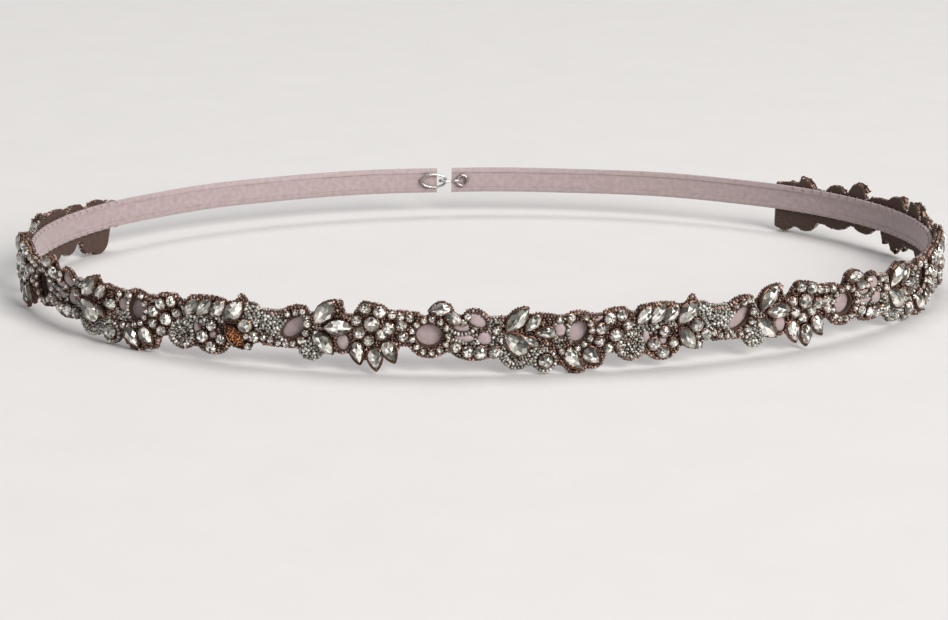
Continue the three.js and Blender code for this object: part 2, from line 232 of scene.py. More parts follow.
LEAVES = make_motif(
    at=-5.0,
    stones=[
        *alike("navette", (-6.9, 8.1, 8.4, 4.4, 47), (-2.5, 7.1, 5.8, 3.2, 48)),
        *alike("pear", (-7.0, 1.5, 7.8, 5, 140)),
        *alike("navette", (-3.0, 1.9, 5, 2.6, -30)),
        *alike("pear", (0.8, 4.3, 5.2, 2.9, 180)),
        *alike("round", (0.9, -3.5, 3.8)),
    ],
    rows=[
        arc("clear", -6.6, -0.8, 6.4, 7.0, 185, 320),
        arc("clear", -6.6, -0.8, 8.8, 9.2, 178, 325),
        arc("clear", 0.9, -3.5, 5.6, 5.6),
        run("rose", (-1.2, 9.0), (0.6, 8.8), (3.2, 8.4)),
        run("rose", (-0.2, 1.6), (3.0, 0.6)),
        run("rose", (-9.8, 4.7), (-5.6, 4.5)),
    ],
    greys=[ellipse(-5.6, -0.6, 14, 9)],
)

OVAL = make_motif(
    at=8.6,
    stones=[
        *alike("chain", (4.5, 7.7, 1.7), (7.8, 8.0, 2.2)),
        *alike("pear", (8.6, -3.6, 6.4, 3.9, -50), (13.4, -2.7, 5.4, 4.0, -40)),
    ],
    rows=[
        run("chain", (5.2, -1.1), (7.4, -0.9), (9.6, -0.3), (11.8, 0.8), (13.3, 2.8), (13.5, 5.4),
            (11.8, 8.1)),
        run("clear", (7.6, 6.6), (6.9, 5.0), (6.9, 3.2), (7.6, 1.6)),
        arc("clear", 4.9, 4.6, 4.4, 5.2, 110, 260),
        arc("rose", 9.8, 4.2, 10.2, 10.0, 30, 112),
        arc("rose", 8.6, -3.6, 8.0, 5.6, -115, 55, -50),
        arc("rose", 13.4, -2.7, 7.2, 5.8, -95, 50, -40),
    ],
    clusters=[cluster("rose", 16.0, -3.4, 2.0, 3.4, -20)],
    patches=[ellipse(4.9, 4.7, 3.2, 3.6)],
    windows=[ellipse(9.8, 4.0, 5.8, 4.8, 55)],
    greys=[ellipse(5, 4, 4, 9)],
)

ROSETTE = make_motif(
    at=18.2,
    stones=[
        *alike("round", (15.9, 4.7, 3.1), (18.2, 7.2, 3.2), (21.5, 8.0, 3.0), (19.8, 3.1, 3.6),
            (18.0, -0.5, 2.8), (15.6, 1.2, 2.7), (23.0, 5.3, 2.6)),
    ],
    rows=[
        run("rose", (17.0, 9.0), (19.0, 9.5), (22.4, 9.7), (23.9, 8.0)),
        run("rose", (17.8, 5.2), (17.7, 2.6)),
        run("rose", (21.8, 3.4), (21.2, 1.2)),
    ],
    patches=[ellipse(15.2, 7.2, 3.4, 0.9, 25)],
)

BRANCH = make_motif(
    at=34.0,
    stones=[
        *alike("navette", (27.8, 7.6, 6, 3.5, 49), (31.6, 7.8, 6.4, 3.8, 47), (35.3, 7.8, 6, 3.6, 47),
            (40.0, 7.7, 7.5, 4.6, 47), (40.1, 0.5, 7.4, 4.1, -52)),
        *alike("round", (30.8, -0.5, 3.4), (33.5, -2.8, 3.3), (36.2, -0.5, 2.8), (33.6, 2.8, 3.0),
            (43.0, 3.8, 3.7), (45.8, 1.0, 3.1)),
        *alike("chain", (43.8, -1.7, 2.0), (43.4, 0.9, 1.7)),
    ],
    rows=[
        arc("clear", 24.4, -0.3, 6.4, 6.4),
        arc("rose", 24.4, -0.3, 8.2, 8.0, 180, 325),
        arc("rose", 33.4, -0.6, 9.6, 8.4, 200, 345),
        run("rose", (26.6, 9.7), (29.4, 10.2), (33.0, 10.3), (36.6, 10.0)),
        run("clear", (26.3, 5.0), (28.6, 4.7), (30.6, 5.3)),
        run("clear", (34.9, 5.1), (36.6, 4.4)),
        run("clear", (30.3, 3.6), (31.4, 4.2)),
        run("rose", (40.4, 4.3), (41.0, 3.6)),
        run("clear", (43.7, 6.8), (46.0, 4.4), (46.2, 3.2)),
    ],
    clusters=[cluster("clear", 45.0, 8.0, 4.8, 3.8, -15), cluster("rose", 41.9, 10.9, 2.2, 2.4)],
    patches=[ellipse(28.8, 1.4, 2.0, 4.0, 10), ellipse(33.4, 0.1, 2.4, 2.0)],
    greys=[ellipse(30, 5.6, 14, 6), ellipse(24.4, -0.3, 8, 8), ellipse(45.2, 5, 6, 12)],
    lost={"repeat": -1, "stone": 4},
)

BOW = make_motif(
    at=54.5,
    stones=[
        *alike("chain", (57.0, 8.7, 2.0), (58.9, 9.0, 1.7), (54.8, 7.9, 1.7)),
    ],
    rows=[
        arc("clear", 56.2, 4.3, 9.4, 5.2, 95, 215, 40),
        run("chain", (48.2, 1.0), (50.4, 0.2), (53.2, -0.1), (56.2, 0.1)),
        run("rose", (48.2, -0.8), (57.2, -1.0)),
        run("rose", (48.6, 7.8), (52.4, 7.8), (54.6, 9.2), (57.2, 10.0), (59.8, 9.8)),
    ],
    clusters=[cluster("clear", 50.3, 5.0, 5.4, 5.2)],
    windows=[ellipse(56.5, 4.3, 7.8, 4.0, 40)],
    greys=[ellipse(50.6, 4.4, 7, 9)],
)

MOTIFS = {
    "spray": SPRAY,
    "flower": FLOWER,
    "ring": RING,
    "frame": FRAME,
    "leaves": LEAVES,
    "oval": OVAL,
    "rosette": ROSETTE,
    "branch": BRANCH,
    "bow": BOW,
}


# The waist's outline


class WaistLine:
    """The ellipse that the trim follows, as a table of lengths, so that a length gives a place round it."""

    steps = 4000

    def __init__(self, half_width, half_depth):
        self.half_width = half_width
        self.half_depth = half_depth
        self.angles = np.linspace(0, math.pi, self.steps + 1)
        middle = (self.angles[1:] + self.angles[:-1]) / 2
        speed = np.hypot(half_width * np.cos(middle), half_depth * np.sin(middle))
        self.lengths = np.concatenate([[0], np.cumsum(speed) * math.pi / self.steps])

    @property
    def half_round(self):
        return self.lengths[-1]

    def at(self, along):
        """Place, direction ahead and direction out for each length, in millimetres."""
        along = np.asarray(along, float)
        angle = np.sign(along) * np.interp(np.abs(along), self.lengths, self.angles)
        zero = np.zeros_like(angle)
        place = np.stack([self.half_width * np.sin(angle), -self.half_depth * np.cos(angle), zero], -1)
        ahead = np.stack([self.half_width * np.cos(angle), self.half_depth * np.sin(angle), zero], -1)
        ahead /= np.linalg.norm(ahead, axis=-1, keepdims=True)
        out = np.stack([ahead[..., 1], -ahead[..., 0], zero], -1)
        return place, ahead, out

    def bend(self, chart):
        """Chart points (along, up, out) as places in metres."""
        chart = np.asarray(chart, float)
        place, _, out = self.at(chart[..., 0])
        place = place + out * chart[..., 2:3]
        place[..., 2] = chart[..., 1]
        return place * MM


WAIST = WaistLine(HALF_WIDTH, HALF_DEPTH)


# Meshes


class Stock:
    """Collects like pieces' vertices and faces, with a tone for each face, and makes one object of them."""

    def __init__(self):
        self.vertices = []
        self.faces = []
        self.tones = []
        self.charts = []

    def add(self, vertices, faces, tones=0.5, chart=None):
        first = len(self.vertices)
        self.vertices.extend(map(tuple, vertices))
        self.faces.extend(tuple(first + i for i in face) for face in faces)
        if np.ndim(tones) == 0:
            tones = [tones] * len(faces)
        self.tones.extend(tones)
        self.charts.extend(map(tuple, chart) if chart is not None else [(0.0, 0.0)] * len(vertices))

    def make(self, name, material, slot, smooth=False):
        mesh = bpy.data.meshes.new(name)
        mesh.from_pydata(self.vertices, [], self.faces)
        tone = mesh.attributes.new("tone", "FLOAT", "FACE")
        tone.data.foreach_set("value", np.asarray(self.tones, np.float32))
        chart = np.asarray(self.charts, np.float32)
        corners = np.empty(len(mesh.loops), np.int32)
        mesh.loops.foreach_get("vertex_index", corners)
        layer = mesh.uv_layers.new(name="chart")
        layer.data.foreach_set("uv", chart[corners].ravel())
        mesh.validate()
        mesh.polygons.foreach_set("use_smooth", [smooth] * len(mesh.polygons))
        piece = bpy.data.objects.new(name, mesh)
        bpy.context.scene.collection.objects.link(piece)
        mesh.materials.append(material)
        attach(piece, BODY)
        return piece


def tube_faces(rings, sides, closed=False):
    """Faces between rings of points, each with the same number of sides, with caps unless it is closed."""
    faces = []
    for i in range(rings if closed else rings - 1):
        here, there = i * sides, ((i + 1) % rings) * sides
        for j in range(sides):
            k = (j + 1) % sides
            faces.append((here + j, here + k, there + k, there + j))
    if not closed:
        last = (rings - 1) * sides
        faces.append(tuple(range(sides))[::-1])
        faces.append(tuple(last + j for j in range(sides)))
    return faces


def turned(points, piece):
    """Points of a piece's own outline, turned and moved to their place in the chart."""
    angle = math.radians(piece["turn"])
    x, y = np.asarray(points, float).T
    return np.stack(
        [
            piece["along"] + x * math.cos(angle) - y * math.sin(angle),
            piece["up"] + x * math.sin(angle) + y * math.cos(angle),
        ],
        -1,
    )


def cut_outline(cut, length, width, sides, point=STONE_POINT):
    """The outline of a stone from in front, pointed end towards plus x."""
    angle = np.arange(sides) * 2 * math.pi / sides
    x = length / 2 * np.cos(angle)
    y = width / 2 * np.sin(angle)
    if cut == "navette":
        y = y * np.abs(np.sin(angle)) ** point
    if cut == "pear":
        y = y * PEAR_FILL * np.sin(angle / 2) ** point
    return np.stack([x, y], -1)


def row_points(row, spacing):
    """Evenly spaced points along a row, with the direction at each."""
    arc_steps = 180
    nearby = 0.05
    if "points" in row:
        line = np.array(row["points"], float)
        whole = False
    else:
        whole = row["end"] - row["start"] >= 360
        angle = np.radians(np.linspace(row["start"], row["end"], arc_steps + 1))
        line = np.stack([row["length"] / 2 * np.cos(angle), row["width"] / 2 * np.sin(angle)], -1)
        line = turned(line, row)
    steps = np.linalg.norm(np.diff(line, axis=0), axis=1)
    lengths = np.concatenate([[0], np.cumsum(steps)])
    count = max(1, round(lengths[-1] / spacing))
    wanted = np.linspace(0, lengths[-1], count + 1)
    if whole:
        wanted = wanted[:-1]

    def places(reach):
        reach = np.clip(reach, 0, lengths[-1])
        return np.stack([np.interp(reach, lengths, line[:, i]) for i in (0, 1)], -1)

    ahead = places(wanted + nearby) - places(wanted - nearby)
    return places(wanted), np.arctan2(ahead[:, 1], ahead[:, 0])


def placed_motifs():
    """Each motif of the trim with its node's name, its repeat and how far round it is moved."""
    counts = {}
    for repeat in range(-2, 3):
        for name, motif in MOTIFS.items():
            shift = repeat * REPEAT
            if abs(motif["at"] + shift) < TRIM_REACH:
                counts[name] = counts.get(name, 0) + 1
                yield f"{name}_{counts[name]}", motif, repeat, shift


# Stones and settings

# crown is the height over the girdle as a share of the width; tone, swing and spread are those of the facets'
# painted reflections: the mean tone, the swing between the side painted bright and the side painted dark, and
# the random spread; grow is how far the setting reaches beyond the stone; claws stand at angles round it, and
# claw_half and claw_over are half a claw's width and its reach over the stone.
POINTED = {
    "sides": 16, "crown": 0.28, "tone": 0.5, "swing": 0.36, "spread": 0.22,
    "grow": 0.22, "claw_half": 0.22, "claw_over": 0.5,
}
ROUND = {**POINTED, "crown": 0.30, "tone": 0.55, "swing": 0.2, "spread": 0.3, "claws": (45, 135, 225, 315)}
CUTS = {
    "navette": {**POINTED, "claws": (0, 58, 122, 180, 238, 302)},
    "pear": {**POINTED, "grow": 0.32, "claws": (0, 75, 140, 220, 285)},
    "round": ROUND,
    "chain": {**ROUND, "sides": 12, "tone": 0.62, "grow": 0.17, "claw_half": 0.16, "claw_over": 0.34},
}

# A cut stone's rings of corners: shares of its outline, and of its crown's height.
BASE_SHARE, BASE_DEPTH = 0.8, 0.35
STAR_SHARE, STAR_RISE = 0.8, 0.62
TABLE_SHARE, TABLE_BULGE = 0.5, 0.02

# The facets' painted reflections: the side usually painted bright and its spread in degrees, and the share of
# facets painted white as glints.
PAINTED_BRIGHT_SIDE, PAINTED_BRIGHT_SPREAD = 235, 75
PAINTED_GLINTS = 0.07
TABLE_SPREAD = 0.34
BACK_TONE = 0.1

# A setting's cup, ring by ring: inset from its outside, share of the tip's extra reach, share of the girdle's
# height, and height added.
CUP = (
    (0.25, 1, 0, 0.02),
    (0.0, 1, 0, 0.45),
    (0.0, 1, 1, -0.28),
    (0.17, 0, 1, -0.2),
    (0.42, 0, 1, -0.5),
)
FLOOR_INSET, FLOOR_HEIGHT = 0.27, 0.5

# The tones of the metal: the foot and the inside of a cup are darkened as painted shade, and the claws are
# lightened as a painted highlight.
METAL_TONES = (0.05, 0.4)
SHADED_RINGS, SHADE_SHARE = (0, 4), 0.35
CLAW_HIGHLIGHT = 0.35
FLOOR_TONE = 0.3

# A claw, station by station: share of its reach over the stone, inset added, height over the girdle, and
# share of its width.
CLAW = (
    (0, 0.0, -0.5, 1.0),
    (0, 0.02, 0.22, 1.0),
    (0.6, 0.0, 0.42, 0.85),
    (1, 0.1, 0.36, 0.5),
)
CLAW_OUT, CLAW_BACK, CLAW_THICK, CLAW_CREST = 0.06, 0.1, 0.16, 0.6


def girdle_height(piece):
    """How far out a stone's widest edge stands: larger stones sit in taller settings."""
    lowest, rise, widest = 0.75, 0.2, 4.4
    return lowest + rise * min(piece["width"], widest)


class Seat:
    """Where a stone sits: a plane that touches the waist's line, tilted a little as hand-set stones are."""

    def __init__(self, piece, shift, chance, tilt):
        along = piece["along"] + shift
        place, ahead, out = WAIST.at(along)
        self.turn = math.radians(piece["turn"])
        self.middle = place + np.array([0, 0, piece["up"] + BASE_LINE])
        lean = np.radians([chance.gauss(0, tilt), chance.gauss(0, tilt)])
        up = np.array([0.0, 0.0, 1.0])
        self.out = out + ahead * lean[0] + up * lean[1]
        self.out /= np.linalg.norm(self.out)
        self.ahead = ahead - self.out * np.dot(ahead, self.out)
        self.ahead /= np.linalg.norm(self.ahead)
        self.up = np.cross(self.out, self.ahead)

    def points(self, outline, height):
        """An outline in the stone's own plane at a height, as places in metres."""
        x, y = outline[:, 0], outline[:, 1]
        right = x * math.cos(self.turn) - y * math.sin(self.turn)
        rise = x * math.sin(self.turn) + y * math.cos(self.turn)
        heights = np.broadcast_to(np.asarray(height, float), x.shape)
        return (
            self.middle
            + right[:, None] * self.ahead
            + rise[:, None] * self.up
            + heights[:, None] * self.out
        ) * MM


def add_stone(stock, piece, seat, chance):
    """A stone with a table, star and kite facets, and girdle facets, each facet with its own tone of painted
    reflection.
    """
    cut = CUTS[piece["cut"]]
    sides = cut["sides"]
    half = sides // 2
    outline = cut_outline(piece["cut"], piece["length"], piece["width"], sides)
    girdle = girdle_height(piece)
    rise = cut["crown"] * piece["width"]
    # A foil-backed stone's reflections are painted into its facets' tones: bright towards one side and dark
    # towards the other, and a few facets painted white as glints.
    painted_bright_side = math.radians(chance.gauss(PAINTED_BRIGHT_SIDE, PAINTED_BRIGHT_SPREAD) - piece["turn"])

    def tone(share, spread=cut["spread"]):
        if chance.random() < PAINTED_GLINTS:
            return 1.0
        mean = cut["tone"] + cut["swing"] * math.cos(share * 2 * math.pi - painted_bright_side)
        return min(1.0, max(0.0, mean + chance.gauss(0, spread)))

    bottom = seat.points(outline * BASE_SHARE, girdle - BASE_DEPTH)
    rim = seat.points(outline, girdle)
    middle = seat.points(outline[1::2] * STAR_SHARE, girdle + rise * STAR_RISE)
    table = seat.points(outline[::2] * TABLE_SHARE, girdle + rise)
    centre = seat.points(np.zeros((1, 2)), girdle + rise + TABLE_BULGE)
    vertices = np.concatenate([bottom, rim, middle, table, centre])
    first_rim, first_middle, first_table, last = sides, 2 * sides, 2 * sides + half, 3 * sides
    faces = [tuple(range(sides))[::-1]]
    faces += [(j, (j + 1) % sides, first_rim + (j + 1) % sides, first_rim + j) for j in range(sides)]
    tones = [BACK_TONE] * len(faces)
    for j in range(half):
        k = (j + 1) % half
        here, between, there = first_rim + 2 * j, first_rim + 2 * j + 1, first_rim + 2 * k
        faces.append((here, between, first_middle + j))
        faces.append((between, there, first_middle + j))
        faces.append((first_table + j, first_middle + j, first_table + k))
        faces.append((first_table + k, first_middle + j, there, first_middle + k))
        tones += [tone((j + share) / half) for share in (0.25, 0.75, 0.5, 0.5)]
    for j in range(half):
        faces.append((first_table + j, first_table + (j + 1) % half, last))
        tones.append(tone((j + 0.5) / half, TABLE_SPREAD))
    stock.add(vertices, faces, tones)


def add_setting(stock, piece, seat, chance, filled=True):
    """A metal cup round a stone, with claws bent over its edge, and a floor when the stone is lost."""
    cut = CUTS[piece["cut"]]
    sides, grow = cut["sides"], cut["grow"]
    girdle = girdle_height(piece)
    is_pear = piece["cut"] == "pear"

    def rim(extra, tip=0.0):
        """The stone's outline, grown by extra, and by tip more at each pointed end."""
        tips = {"navette": 2 * tip, "pear": tip}.get(piece["cut"], 0)
        length, width = piece["length"] + 2 * extra + tips, piece["width"] + 2 * extra
        point = SETTING_POINT if is_pear and tip else STONE_POINT
        return cut_outline(piece["cut"], length, width, sides, point) + (tip / 2 if is_pear else 0, 0)

    rings = []
    for inset, tip_share, girdle_share, height in CUP:
        outline = rim(grow - inset, piece["tip"] * tip_share)
        rings.append(seat.points(outline, girdle * girdle_share + height))
    tone = chance.uniform(*METAL_TONES)
    faces = tube_faces(sides, len(CUP), closed=True)
    # The cup's foot and inside are painted darker, as shade.
    tones = [tone * (SHADE_SHARE if i % len(CUP) in SHADED_RINGS else 1) for i in range(len(faces))]
    stock.add(np.stack(rings, 1).reshape(-1, 3), faces, tones)
    outer = rim(grow + CLAW_OUT)
    angles = np.arange(sides + 1) * 360 / sides
    closed = np.concatenate([outer, outer[:1]])
    for angle in cut["claws"]:
        foot = np.array([np.interp(angle, angles, closed[:, i]) for i in (0, 1)])
        inward = -foot / np.linalg.norm(foot)
        side = np.array([-inward[1], inward[0]])
        corners = []
        for reach, added, height, share in CLAW:
            wide = cut["claw_half"] * share
            inset = cut["claw_over"] * reach + added
            for across, is_crest in ((-wide, 0), (wide, 0), (wide * CLAW_CREST, 1), (-wide * CLAW_CREST, 1)):
                back, lift = (0, is_crest * CLAW_THICK) if reach else (is_crest * CLAW_BACK, 0)
                spot = foot + inward * (inset - back) + side * across
                corners.append(seat.points(spot[None], girdle + height + lift)[0])
        # The claws are painted lighter, as a highlight.
        stock.add(corners, tube_faces(len(CLAW), 4), tone + CLAW_HIGHLIGHT)
    if not filled:
        floor = seat.points(rim(grow - FLOOR_INSET), FLOOR_HEIGHT)
        stock.add(floor, [tuple(range(sides))], FLOOR_TONE)


# Beads

# The height of a row of packed beads, as a share of the beads' spacing, and a range that stands for any
# direction, in radians.
ROW_HEIGHT = 0.87
ANY_TURN = (0, 6)

# A bead's tone falls in its range, mostly low, and the few high tones are painted glints.
BEADS = {
    "clear": {"size": 1.15, "spacing": 1.0, "tone": (0.55, 1.0), "dimness": 1.25, "height": 0.75},
    "rose": {"size": 1.0, "spacing": 0.95, "tone": (0.0, 0.40), "dimness": 1.6, "height": 0.6},
    "ember": {"size": 0.8, "spacing": 0.75, "tone": (0.43, 0.5), "dimness": 1.0, "height": 0.6},
}


def bead_shape(sides, section_sides):
    """A seed bead: a short, fat ring with its hole along x, one millimetre across."""
    middle, half_thick, half_long = 0.31, 0.19, 0.33
    vertices = []
    for i in range(sides):
        angle = 2 * math.pi * i / sides
        for j in range(section_sides):
            turn = 2 * math.pi * j / section_sides
            reach = middle + half_thick * math.cos(turn)
            vertices.append((half_long * math.sin(turn), reach * math.cos(angle), reach * math.sin(angle)))
    return np.array(vertices), tube_faces(sides, section_sides, closed=True)


ROW_BEAD = bead_shape(9, 6)
FILLING_BEAD = bead_shape(7, 5)


def bead_tone(kind, chance):
    """Most beads are dim, and a few are painted bright as glints."""
    bead = BEADS[kind]
    low, high = bead["tone"]
    return low + (high - low) * chance.random() ** bead["dimness"]


def add_bead(stock, along, up, height, size, direction, chance, tone, shape=ROW_BEAD):
    """One seed bead, with its hole along the thread's direction, give or take."""
    turn_spread, rock_spread = 0.35, 0.3
    place, ahead, out = WAIST.at(along)
    turn = direction + chance.gauss(0, turn_spread)
    rock = chance.gauss(0, rock_spread)
    rise = np.array([0.0, 0.0, 1.0])
    first = ahead * math.cos(turn) + rise * math.sin(turn)
    second = -ahead * math.sin(turn) + rise * math.cos(turn)
    third = out * math.cos(rock) - first * math.sin(rock)
    first = first * math.cos(rock) + out * math.sin(rock)
    middle = place + rise * (up + BASE_LINE) + out * height
    vertices, faces = shape
    vertices = middle + size * (vertices[:, :1] * first + vertices[:, 1:2] * second + vertices[:, 2:] * third)
    stock.add(vertices * MM, faces, tone)


def cluster_spots(piece, spacing):
    """Bead places packed over an ellipse as seeds are in a flower head, with a dome's height from 0 to 1."""
    area = math.pi * piece["length"] * piece["width"] / 4
    count = max(5, round(area / (spacing * spacing * ROW_HEIGHT)))
    reach = np.sqrt((np.arange(count) + 0.5) / count)
    angle = (np.arange(count) + 0.5) * math.pi * (3 - math.sqrt(5))
    x, y = piece["length"] / 2 * reach * np.cos(angle), piece["width"] / 2 * reach * np.sin(angle)
    return turned(np.stack([x, y], -1), piece), 1 - reach**2


# Cloth

CONTOUR_STEP = 0.4
OUTLINE_SIDES = 32


def trim_contour():
    """The highest and lowest reach of stones and rows at each length, smoothed as if cut by hand."""
    stone_inset, window_rim, patch_inset, bead_width, least_half = 0.5, 1.2, 0.2, 0.5, 3.8
    dots = []
    for _, motif, _, shift in placed_motifs():
        for piece in motif["stones"]:
            length, width = piece["length"] - stone_inset, piece["width"] - stone_inset
            outline = cut_outline(piece["cut"], length, width, OUTLINE_SIDES)
            dots.append(turned(outline, piece) + (shift, 0))
        for piece in motif["patches"] + motif["clusters"] + motif["windows"]:
            grown = window_rim if piece in motif["windows"] else -patch_inset
            outline = cut_outline("round", piece["length"] + grown, piece["width"] + grown, OUTLINE_SIDES)
            dots.append(turned(outline, piece) + (shift, 0))
        for row in motif["rows"]:
            ring = cut_outline("round", bead_width, bead_width, 8)
            for spot in row_points(row, bead_width)[0]:
                dots.append(ring + spot + (shift, 0))
    dots = np.concatenate(dots)
    dots[:, 1] += BASE_LINE
    low, high = dots[:, 0].min(), dots[:, 0].max()
    lengths = np.arange(low, high + CONTOUR_STEP, CONTOUR_STEP)
    top = np.full(len(lengths), least_half)
    bottom = np.full(len(lengths), -least_half)
    nearest = np.clip(np.round((dots[:, 0] - low) / CONTOUR_STEP).astype(int), 0, len(lengths) - 1)
    np.maximum.at(top, nearest, dots[:, 1])
    np.minimum.at(bottom, nearest, dots[:, 1])
    return lengths, smoothed(top, 1), smoothed(bottom, -1)


def neighbours(edge, reach):
    """Copies of the edge, moved by up to reach steps each way, so that a place lies over its neighbours."""
    padded = np.pad(edge, reach, mode="edge")
    return [padded[i : i + len(edge)] for i in range(2 * reach + 1)]


def smoothed(edge, sign):
    """Fills narrow notches in an edge and rounds it off."""
    filled = np.max(neighbours(edge * sign, 2), axis=0)
    opened = np.min(neighbours(filled, 2), axis=0)
    return sign * np.mean(neighbours(opened, 1), axis=0)


def in_own_axes(spots, piece):
    """Spots as distances along and across a turned piece, from its middle."""
    angle = math.radians(piece["turn"])
    x, y = spots[:, 0] - piece["along"], spots[:, 1] - piece["up"]
    return x * math.cos(angle) + y * math.sin(angle), y * math.cos(angle) - x * math.sin(angle)


def in_ellipse(spots, piece, margin):
    """Which spots are inside an ellipse that is grown by a margin."""
    along, across = in_own_axes(spots, piece)
    return (along / (piece["length"] / 2 + margin)) ** 2 + (across / (piece["width"] / 2 + margin)) ** 2 < 1


def in_stone(spots, piece, margin):
    """Which spots are inside a stone's outline that is grown by a margin."""
    along, across = in_own_axes(spots, piece)
    length, width = piece["length"] + 2 * margin, piece["width"] + 2 * margin
    outline = cut_outline(piece["cut"], length, width, OUTLINE_SIDES)
    upper = outline[OUTLINE_SIDES // 2 :: -1]
    return np.abs(across) < np.interp(along, upper[:, 0], upper[:, 1], left=-1, right=-1)


def filling_spots(motif, shift, edges, chance):
    """Places for the fine beads that cover the backing between a motif's stones."""
    spacing, beyond, lowest, highest, jitter, inset = 0.82, 5, -8, 15, 0.13, 0.15
    reach = [s["along"] for s in motif["stones"] + motif["patches"] + motif["clusters"] + motif["windows"]]
    spots = []
    for i, up in enumerate(np.arange(lowest, highest, spacing * ROW_HEIGHT)):
        for along in np.arange(min(reach) - beyond, max(reach) + beyond, spacing):
            shifted = along + spacing / 2 * (i % 2)
            spots.append((shifted + chance.gauss(0, jitter), up + chance.gauss(0, jitter)))
    spots = np.array(spots)
    lengths, top, bottom = edges
    height = spots[:, 1] + BASE_LINE
    place = spots[:, 0] + shift
    kept = (place > lengths[0] + inset) & (place < lengths[-1] - inset)
    kept &= height < np.interp(place, lengths, top) - inset
    kept &= height > np.interp(place, lengths, bottom) + inset
    return spots[kept]


def edging_spots(edges, low, high):
    """Places along the backing's two edges and its ends, just outside the cloth, to cover its thickness."""
    lengths, top, bottom = edges
    spots = []
    outside = 0.12
    spacing = 0.8
    for edge, side in ((top, 1), (bottom, -1)):
        steps = np.hypot(np.diff(lengths), np.diff(edge))
        reach = np.concatenate([[0], np.cumsum(steps)])
        wanted = np.arange(spacing / 2, reach[-1], spacing)
        for along, up in zip(np.interp(wanted, reach, lengths), np.interp(wanted, reach, edge)):
            spots.append((along, up + side * outside))
    for end, side in ((0, -1), (-1, 1)):
        for up in np.arange(bottom[end], top[end], spacing):
            spots.append((lengths[end] + side * outside, up))
    return [spot for spot in spots if low - outside * 2 <= spot[0] < high + outside * 2]


def clear_of(spots, motif):
    """Which spots are clear of a motif's stones, windows and patches."""
    clear = np.ones(len(spots), bool)
    clearances = {"stones": (in_stone, 0.28), "windows": (in_ellipse, 0.4), "patches": (in_ellipse, 0.1)}
    for name, (inside, margin) in clearances.items():
        for piece in motif[name]:
            clear &= ~inside(spots, piece, margin)
    return clear


def in_grey(spots, shift, near, margin):
    """Which of a motif's spots are in a grey zone of the motifs near it, itself among them."""
    grey = np.zeros(len(spots), bool)
    for _, motif, _, other_shift in near:
        for zone in motif["greys"]:
            grey |= in_ellipse(spots + (shift - other_shift, 0), zone, margin)
    return grey


def flat_cut(outline, holes, spacing):
    """A flat piece of cloth as vertices and triangles, with points all over it so that it can be bent."""
    points, edges = [], []
    for ring in (outline, *holes):
        first = len(points)
        points += [tuple(p) for p in ring]
        edges += [(first + i, first + (i + 1) % len(ring)) for i in range(len(ring))]
    low, high = outline.min(0), outline.max(0)
    for x in np.arange(low[0], high[0], spacing):
        for y in np.arange(low[1], high[1], spacing):
            points.append((x, y))
    vertices, _, faces, *_ = delaunay_2d_cdt([Vector(p) for p in points], edges, [], 1, 1e-4)
    vertices = np.array([tuple(v) for v in vertices])
    middles = vertices[np.array(faces)].mean(1)
    in_hole = np.zeros(len(faces), bool)
    for hole in holes:
        reach, away = hole - hole.mean(0), middles - hole.mean(0)
        angle = np.arctan2(reach[:, 1], reach[:, 0])
        order = np.argsort(angle)
        edge = np.linalg.norm(reach, axis=1)[order]
        radius = np.interp(np.arctan2(away[:, 1], away[:, 0]), angle[order], edge, period=2 * math.pi)
        in_hole |= np.linalg.norm(away, axis=1) < radius
    faces = [tuple(face) for face, left_out in zip(faces, in_hole) if not left_out]
    used = sorted({i for face in faces for i in face})
    renamed = {old: new for new, old in enumerate(used)}
    return vertices[used], [tuple(renamed[i] for i in face) for face in faces]


def thick_cloth(stock, flat, faces, inner, outer):
    """A wall of cloth between two layers, with its edges closed."""
    count = len(flat)
    layers = [WAIST.bend(np.column_stack([flat, np.full(count, out)])) for out in (outer, inner)]
    edges = dict.fromkeys(edge for face in faces for edge in zip(face, face[1:] + face[:1]))
    every = list(faces)
    every += [tuple(count + i for i in reversed(face)) for face in faces]
    every += [(b, a, count + a, count + b) for a, b in edges if (b, a) not in edges]
    stock.add(np.concatenate(layers), every, 0.5, np.concatenate([flat, flat]) * TEXTURE_SCALE)


# Materials


def new_material(name, **settings):
    """A material, its tree and its shader, whose inputs are set: Coat_Weight is its Coat Weight."""
    material = bpy.data.materials.new(name)
    material.use_nodes = True
    shader = set_inputs(material.node_tree.nodes["Principled BSDF"], settings)
    return material, material.node_tree, shader


def set_inputs(node, settings):
    for name, value in settings.items():
        node.inputs[name.replace("_", " ")].default_value = value
    return node


def add_node(tree, kind, **settings):
    return set_inputs(tree.nodes.new(f"ShaderNode{kind}"), settings)


def add_noise(tree, vector=None, **settings):
    """Cloudy noise, laid over the object's own space unless another vector is given."""
    noise = add_node(tree, "TexNoise", **settings)
    tree.links.new(vector or add_node(tree, "TexCoord").outputs["Object"], noise.inputs["Vector"])
    return noise.outputs["Fac"]


def add_color(tree, shader, factor, stops):
    """Colours the shader by a factor, through stops of a position and a colour each."""
    ramp = add_node(tree, "ValToRGB")
    elements = ramp.color_ramp.elements
    for i in (0, -1):
        elements[i].position, elements[i].color = stops[i][0], (*stops[i][1], 1)
    for position, color in stops[1:-1]:
        elements.new(position).color = (*color, 1)
    tree.links.new(factor, ramp.inputs["Fac"])
    tree.links.new(ramp.outputs["Color"], shader.inputs["Base Color"])


def add_bump(tree, shader, height, strength, distance):
    bump = add_node(tree, "Bump", Strength=strength, Distance=distance)
    tree.links.new(height, bump.inputs["Height"])
    tree.links.new(bump.outputs["Normal"], shader.inputs["Normal"])


